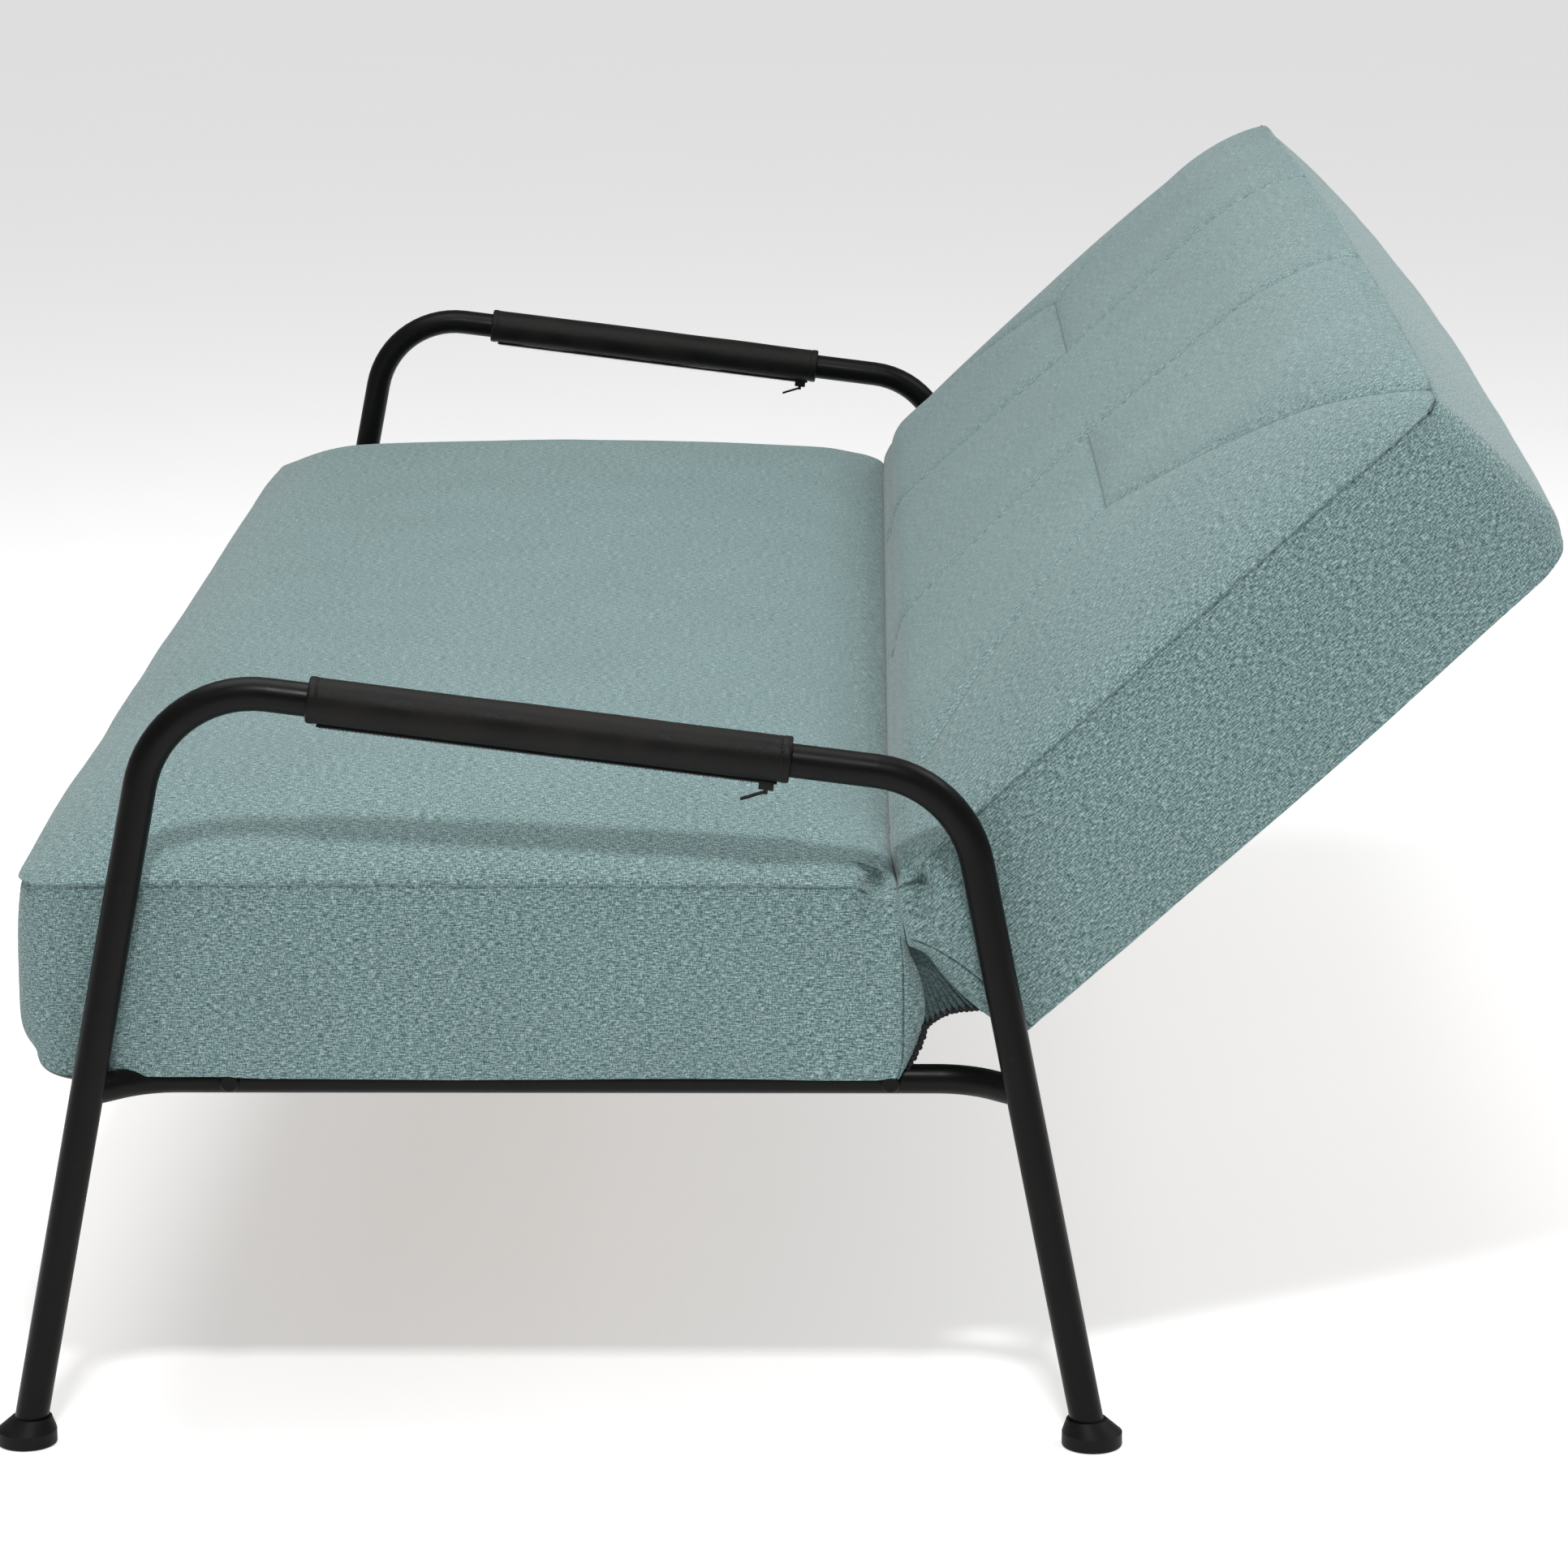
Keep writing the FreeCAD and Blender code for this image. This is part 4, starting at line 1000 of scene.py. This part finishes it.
@dataclass
class FoldWeb:
    """Cloth web that closes the open end of the fold, gathered along its lower edge by an elastic, darkened
    all over as painted shade.
    """

    side: Side
    fold: Fold
    inset: float = 14 * MM
    half_width: float = 957 * MM
    apex: tuple[float, float] = (0.0, -16 * MM)
    first_angle: float = -97.0
    last_angle: float = -38.0
    waist_angle: float = -66.0
    waist: float = 66 * MM
    flare: float = 0.028 * MM
    gathers: int = 15
    fullness: float = 2.2
    bead: float = 2.8 * MM
    belly: float = 6 * MM
    thickness: float = 1.2 * MM
    # share of the dark sewn colour laid over the whole web: painted shade of its recess
    painted_shade: float = 0.97

    def edge_radius(self, angle: float) -> float:
        """How far below the apex the gathered edge runs, at an angle in degrees."""
        return self.waist + self.flare * (angle - self.waist_angle) ** 2

    def place(self, angle: float, down: float, inward: float) -> Vector:
        """Row-frame place of a point of the web.

        Args:
            angle: of its ray from the apex, in degrees above the horizontal.
            down: share of the way to the gathered edge.
            inward: how far inside the mattress's end.

        Returns:
            The place at rest.
        """
        turn = math.radians(angle)
        radius = 3 * MM + self.edge_radius(angle) * down
        y = self.apex[0] + radius * math.cos(turn)
        z = self.apex[1] + radius * math.sin(turn)
        return self.fold.centre + Vector((self.side.value * (self.half_width - inward), y, z))

    def build(self, shop: FinishShop) -> bpy.types.Object:
        """Args:
            shop: where its finish comes from.

        Returns:
            The piece.
        """
        bm = bmesh.new()
        bmesh.ops.create_grid(bm, x_segments=60, y_segments=18, size=0.5)
        uv = bm.loops.layers.uv.new("panel")
        seam = bm.verts.layers.float.new("seam")
        for vert in bm.verts:
            across = vert.co.x + 0.5
            down = vert.co.y + 0.5
            ripple = 2.6 * MM * down * down * math.cos(across * math.tau * self.gathers)
            belly = self.belly * math.sin(math.pi * across) * down
            angle = mix(self.first_angle, self.last_angle, across)
            # the whole web takes the dark sewn colour as painted shade
            vert[seam] = self.painted_shade
            vert.co = self.place(angle, down, self.inset + belly - ripple)
        for face in bm.faces:
            for loop in face.loops:
                loop[uv].uv = (loop.vert.co.y, loop.vert.co.z)
        bmesh.ops.recalc_face_normals(bm, faces=bm.faces)
        piece = placed(self.side.node("fold_web"), bm)
        cloth = piece.modifiers.new("thickness", "SOLIDIFY")
        cloth.thickness = self.thickness
        cloth.offset = 0
        settled(piece)
        shop.dress(piece, "cover_fabric")
        self.fold.blend(piece)
        return piece

    def build_elastic(self, shop: FinishShop, seat: MattressHalf) -> bpy.types.Object:
        """Makes the drawn-in elastic edge, a close row of small tucks, coloured black as painted shade in
        its gathers.

        Args:
            shop: where its finish comes from.
            seat: the half whose strip it runs along below the web.

        Returns:
            The piece.
        """
        out = self.side.value * (self.half_width - 12 * MM)
        path = []
        for step in range(40):
            v = (-123 + step) * MM
            path.append(self.fold.centre + Vector((out, 1 * MM - seat.face_place(v, 1.0), v)))
        for step in range(100):
            across = 0.22 + 0.78 * step / 99
            belly = self.belly * math.sin(math.pi * across)
            path.append(self.place(mix(self.first_angle, self.last_angle, across), 1.0, self.inset + belly))
        bm = bmesh.new()
        last = path[0]
        for place in path[1:]:
            if (place - last).length < 1.25 * self.bead:
                continue
            last = place
            made = bmesh.ops.create_icosphere(bm, subdivisions=2, radius=self.bead)["verts"]
            jitter = noise.noise(place * 700)
            bmesh.ops.scale(bm, vec=(1.1, 1 + 0.4 * jitter, 1 - 0.3 * jitter), verts=made)
            bmesh.ops.translate(bm, vec=place, verts=made)
        piece = placed(self.side.node("fold_elastic_and_shade"), bm)
        # black tape finish on the tucks: painted shade of the gathered edge
        shop.dress(piece, "zip_nylon")
        self.fold.blend(piece)
        return piece


@dataclass
class Mattress:
    """Both halves and the webs at the ends of the fold."""

    fold: Fold
    inner: tuple[float, float] = (290 * MM, 240 * MM)
    outer: tuple[float, float, float] = (900 * MM, 600 * MM, 860 * MM)
    stations: tuple[float, float, float] = (541 * MM, 280 * MM, 32 * MM)
    past_edge: float = 0.09

    def quilting(self) -> list[SewnLine]:
        """The back's sewn lines: on each side two bent ones and a short one across."""
        top, middle, bottom = self.stations
        lines = []
        for side in Side:
            s = side.value
            wide, waist = self.inner
            high, centre, low = self.outer
            lines.append(SewnLine((s * wide, top), (s * waist, middle), self.past_edge))
            lines.append(SewnLine((s * waist, middle), (s * wide, bottom)))
            lines.append(SewnLine((s * high, top), (s * centre, middle), self.past_edge))
            lines.append(SewnLine((s * centre, middle), (s * low, bottom)))
            lines.append(SewnLine((s * waist, middle), (s * centre, middle)))
        return lines

    def build(self, shop: FinishShop) -> None:
        """Makes both halves and both webs."""
        seat_length = self.fold.centre.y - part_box("seat_cover")[0].y
        seat = MattressHalf(
            Half.SEAT,
            self.fold,
            seat_length,
            crown=77 * MM,
            end_shoulder=235 * MM,
            end_fullness=1.6,
            lower_radius=42 * MM,
            underside=-107 * MM,
            peak=0.35,
            peak_reach=0.30,
            peak_fall=13 * MM,
        )
        back = MattressHalf(
            Half.BACK,
            self.fold,
            self.stations[0],
            crown=75 * MM,
            end_shoulder=280 * MM,
            end_fullness=1.55,
            lower_radius=30 * MM,
            underside=-96 * MM,
            peak=0.27,
            peak_reach=0.27,
            peak_fall=6 * MM,
            bow=12 * MM,
            skew=10 * MM,
            seam_rise=15 * MM,
            sewn_lines=self.quilting(),
        )
        for half in (seat, back):
            log.info("made %s", half.build(shop).name)
        for side in Side:
            web = FoldWeb(side, self.fold)
            log.info("made %s", web.build(shop).name)
            log.info("made %s", web.build_elastic(shop, seat).name)


# ---- armrest sleeves -----------------------------------------------------------------------------


@dataclass
class ArmSleeve:
    """Padded sleeve over the armrest, hemmed at both ends and closed by a zipper underneath."""

    side: Side
    hem: float = 7 * MM
    wall: float = 4.2 * MM
    stitch: float = 3.2 * MM
    slope: float = math.radians(7.28)
    length: float = 352 * MM
    radius: float = 17.1 * MM

    def __post_init__(self) -> None:
        """Finds the sleeve's middle and its way along the armrest."""
        low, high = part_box(self.side.node("arm_sleeve"))
        self.middle = (low + high) / 2
        self.way = Vector((0.0, math.cos(self.slope), -math.sin(self.slope)))
        self.turn = Matrix.Rotation(math.pi / 2 - self.slope, 4, "X").inverted()

    def to_place(self, point: Vector) -> Vector:
        """Row-frame place of a point given across, along and above the sleeve's middle."""
        up = Vector((0.0, math.sin(self.slope), math.cos(self.slope)))
        return self.middle + Vector((point.x, 0, 0)) + self.way * point.y + up * point.z

    def surface(self, along: float, angle: float) -> float:
        """Radius of the sleeve at a place along it and round it."""
        from_end = self.length / 2 - abs(along)
        proud = 0.5 * MM * (1 - ease((from_end - self.hem) / (3 * MM)))
        groove = 0.7 * MM * bump_at(from_end - self.hem, 0.9 * MM)
        roll = 1.1 * MM * (1 - shoulder(from_end, 2.5 * MM, 2.0))
        flatter = 0.6 * MM * bump_at(math.remainder(angle + math.pi / 2, math.tau), 0.5)
        where = Vector((along * 16, math.cos(angle) * 1.3, math.sin(angle) * 1.3 + self.side.value * 5))
        uneven = 0.45 * MM * noise.noise(where)
        return self.radius + proud - groove - roll - flatter + uneven

    def build(self, shop: FinishShop) -> bpy.types.Object:
        """Args:
            shop: where its finish comes from.

        Returns:
            The piece.
        """
        bm = bmesh.new()
        bmesh.ops.create_circle(bm, segments=56, radius=self.radius)
        bmesh.ops.rotate(bm, cent=(0, 0, 0), matrix=Matrix.Rotation(math.pi / 2, 3, "X"), verts=bm.verts)
        bmesh.ops.translate(bm, vec=(0, -self.length / 2, 0), verts=bm.verts)
        ring = bm.edges[:]
        steps = [0.8, 0.9, 1.3, 2.5, 0.8, 0.7, 0.7, 0.8, 1.5]
        inner = (self.length / MM - 2 * sum(steps)) / 48
        for step in steps + [inner] * 48 + steps[::-1]:
            made = bmesh.ops.extrude_edge_only(bm, edges=ring)["geom"]
            ring = [item for item in made if isinstance(item, bmesh.types.BMEdge)]
            ring = [edge for edge in ring if abs(edge.verts[0].co.y - edge.verts[1].co.y) < TOUCHING]
            verts = [item for item in made if isinstance(item, bmesh.types.BMVert)]
            bmesh.ops.translate(bm, vec=(0, step * MM, 0), verts=verts)
        bmesh.ops.recalc_face_normals(bm, faces=bm.faces)
        for vert in bm.verts:
            angle = math.atan2(vert.co.z, vert.co.x)
            radius = self.surface(vert.co.y, angle)
            point = Vector((radius * math.cos(angle), vert.co.y, radius * math.sin(angle)))
            vert.co = self.to_place(point)
        piece = placed(self.side.node("sleeve_pad"), bm)
        wall = piece.modifiers.new("wall", "SOLIDIFY")
        wall.thickness = self.wall
        wall.offset = -1
        settled(piece)
        shop.dress(piece, "sleeve_leatherette")
        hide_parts(self.side.node("arm_sleeve"))
        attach(piece, "base")
        return piece

    def build_stitches(self, shop: FinishShop) -> bpy.types.Object:
        """Makes the row of short stitches round each end."""
        bm = bmesh.new()
        count = round(math.tau * self.radius / self.stitch)
        for end in (-1, 1):
            along = end * (self.length / 2 - self.hem)
            for step in range(count):
                angle = math.tau * step / count
                made = bmesh.ops.create_cube(bm, size=1.0)["verts"]
                size = (0.45 * MM, 0.55 * MM, self.stitch * 0.62)
                bmesh.ops.scale(bm, vec=size, verts=made)
                bmesh.ops.rotate(bm, cent=(0, 0, 0), matrix=Matrix.Rotation(-angle, 3, "Y"), verts=made)
                radius = self.surface(along, angle) + 0.05 * MM
                centre = Vector((radius * math.cos(angle), along, radius * math.sin(angle)))
                bmesh.ops.translate(bm, vec=centre, verts=made)
        chamfer(bm, 0.15 * MM)
        for vert in bm.verts:
            vert.co = self.to_place(vert.co)
        piece = placed(self.side.node("sleeve_stitches"), bm)
        shop.dress(piece, "zip_nylon")
        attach(piece, "base")
        return piece


@dataclass
class SleeveZip:
    """Zipper under a sleeve: a tape and two rows of meshed teeth."""

    sleeve: ArmSleeve
    margin: float = 8 * MM
    tape_width: float = 9 * MM
    tape_thick: float = 1.1 * MM
    tooth_pitch: float = 1.6 * MM
    tooth: tuple[float, float, float] = (2.1 * MM, 0.9 * MM, 1.5 * MM)

    def build(self, shop: FinishShop) -> bpy.types.Object:
        """Makes the zipper and dresses it.

        Args:
            shop: where its finish comes from.

        Returns:
            The piece.
        """
        bm = bmesh.new()
        length = self.sleeve.length - 2 * self.margin
        tape = bmesh.ops.create_cube(bm, size=1.0)["verts"]
        bmesh.ops.scale(bm, vec=(self.tape_width, length, self.tape_thick), verts=tape)
        surface = -(17.25 * MM)
        bmesh.ops.translate(bm, vec=(0, 0, surface - self.tape_thick / 2), verts=tape)
        count = int(length / self.tooth_pitch) - 2
        for step in range(count):
            made = bmesh.ops.create_cube(bm, size=1.0)["verts"]
            bmesh.ops.scale(bm, vec=self.tooth, verts=made)
            lean = 0.7 * MM * (1 if step % 2 else -1)
            along = -length / 2 + (step + 1.5) * self.tooth_pitch
            below = surface - self.tape_thick - self.tooth[2] / 2 + 0.1 * MM
            bmesh.ops.translate(bm, vec=(lean, along, below), verts=made)
        chamfer(bm, 0.2 * MM)
        for vert in bm.verts:
            vert.co = self.sleeve.to_place(vert.co)
        piece = placed(self.sleeve.side.node("zip_teeth"), bm)
        shade(piece.data, False)
        shop.dress(piece, "zip_nylon")
        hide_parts(self.sleeve.side.node("sleeve_zip"))
        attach(piece, "base")
        return piece


# ---- carried-over frame --------------------------------------------------------------------------


@dataclass
class SteelFrame:
    """The hard pieces, whose shapes come with the frame: tubes, feet, rails, slats and hinges."""

    def finishes(self) -> dict[str, str]:
        """Each carried-over node's finish, from the record's own slots."""
        return {
            row["node"]: row["material_slot"]
            for row in frame["record"]["subparts"]
            if row["material_slot"] not in ("cover_fabric", "foam")
        }

    def build(self, shop: FinishShop) -> None:
        """Dresses every carried-over node."""
        for node, finish in self.finishes().items():
            shop.dress_node(node, finish)
            log.info("dressed %s as %s", node, finish)


# ---- studio --------------------------------------------------------------------------------------


@dataclass
class Studio:
    """Pale floor, soft lights and the camera at the sofa's end."""

    camera_place: tuple[float, float, float] = (4.7904, 0.0732, 1.3678)
    pitch: float = 0.2228
    yaw: float = -0.0161
    roll: float = -0.0031
    lens: float = 123.9
    sensor: float = 36.0

    def build(self) -> None:
        """Makes the floor, the lights, the world and the camera."""
        self.lay_floor()
        self.hang_lights()
        self.light_world()
        self.set_camera()
        bpy.context.scene.view_settings.view_transform = "Standard"

    def lay_floor(self) -> None:
        """Large pale floor."""
        bm = bmesh.new()
        bmesh.ops.create_grid(bm, x_segments=1, y_segments=1, size=40.0)
        floor = placed("studio_floor", bm)
        bench = Bench("studio_floor", Roughness=0.9, Specular_IOR_Level=0.1, Emission_Strength=0.45)
        bench.shader.inputs["Emission Color"].default_value = (1.0, 1.0, 1.0, 1.0)
        tone = bench.noise(bench.object_place(), 3.0, 2.0)
        bench.into("Base Color", bench.ramp(tone, [(0.0, grey(0.86)), (1.0, grey(0.89))]))
        floor.data.materials.append(bench.material)

    def hang_lights(self) -> None:
        """Small soft key above the right end, a broad light overhead and one behind."""
        self.lamp("key", (2.9, -0.1, 3.1), (0.9, -0.1, 0.4), 0.3, 62.0)
        self.lamp("overhead", (0.1, -0.5, 3.3), (0.0, 0.1, 0.4), 2.4, 62.0)
        self.lamp("rear", (-0.2, 2.4, 2.8), (0.0, 0.3, 0.5), 2.0, 44.0)

    def lamp(
        self,
        name: str,
        place: tuple[float, float, float],
        target: tuple[float, float, float],
        size: float,
        power: float,
    ) -> None:
        """Square area light.

        Args:
            name: the light's name.
            place: where it hangs.
            target: what it faces.
            size: its side.
            power: in watts.
        """
        data = bpy.data.lights.new(name, "AREA")
        data.size = size
        data.energy = power
        light = bpy.data.objects.new(name, data)
        light.location = place
        way = Vector(target) - Vector(place)
        light.rotation_euler = way.to_track_quat("-Z", "Y").to_euler()
        bpy.context.scene.collection.objects.link(light)

    def light_world(self) -> None:
        """White surround."""
        world = bpy.data.worlds.new("surround")
        world.use_nodes = True
        background = world.node_tree.nodes["Background"]
        background.inputs["Color"].default_value = (1.0, 1.0, 1.0, 1.0)
        background.inputs["Strength"].default_value = 0.31
        bpy.context.scene.world = world

    def set_camera(self) -> None:
        """Camera at the sofa's right end, looking along its width and a little down."""
        forward = Vector(
            (
                -math.cos(self.pitch) * math.cos(self.yaw),
                math.cos(self.pitch) * math.sin(self.yaw),
                -math.sin(self.pitch),
            )
        )
        level = Vector((math.sin(self.yaw), math.cos(self.yaw), 0.0))
        upright = level.cross(forward)
        right = level * math.cos(self.roll) + upright * math.sin(self.roll)
        up = upright * math.cos(self.roll) - level * math.sin(self.roll)
        data = bpy.data.cameras.new("camera")
        data.lens = self.lens
        data.sensor_width = self.sensor
        data.clip_end = 200.0
        camera = bpy.data.objects.new("camera", data)
        turned = Matrix((right, up, -forward)).transposed().to_4x4()
        camera.matrix_world = Matrix.Translation(self.camera_place) @ turned
        bpy.context.scene.collection.objects.link(camera)
        bpy.context.scene.camera = camera


def main() -> None:
    """Builds the sofa piece by piece."""
    logging.basicConfig(level=logging.INFO, format="%(name)s: %(message)s")
    shop = FinishShop()
    shop.stock()
    Studio().build()
    SteelFrame().build(shop)
    Mattress(Fold()).build(shop)
    for side in Side:
        sleeve = ArmSleeve(side)
        log.info("made %s", sleeve.build(shop).name)
        log.info("made %s", sleeve.build_stitches(shop).name)
        log.info("made %s", SleeveZip(sleeve).build(shop).name)


if __name__ == "__main__":
    main()
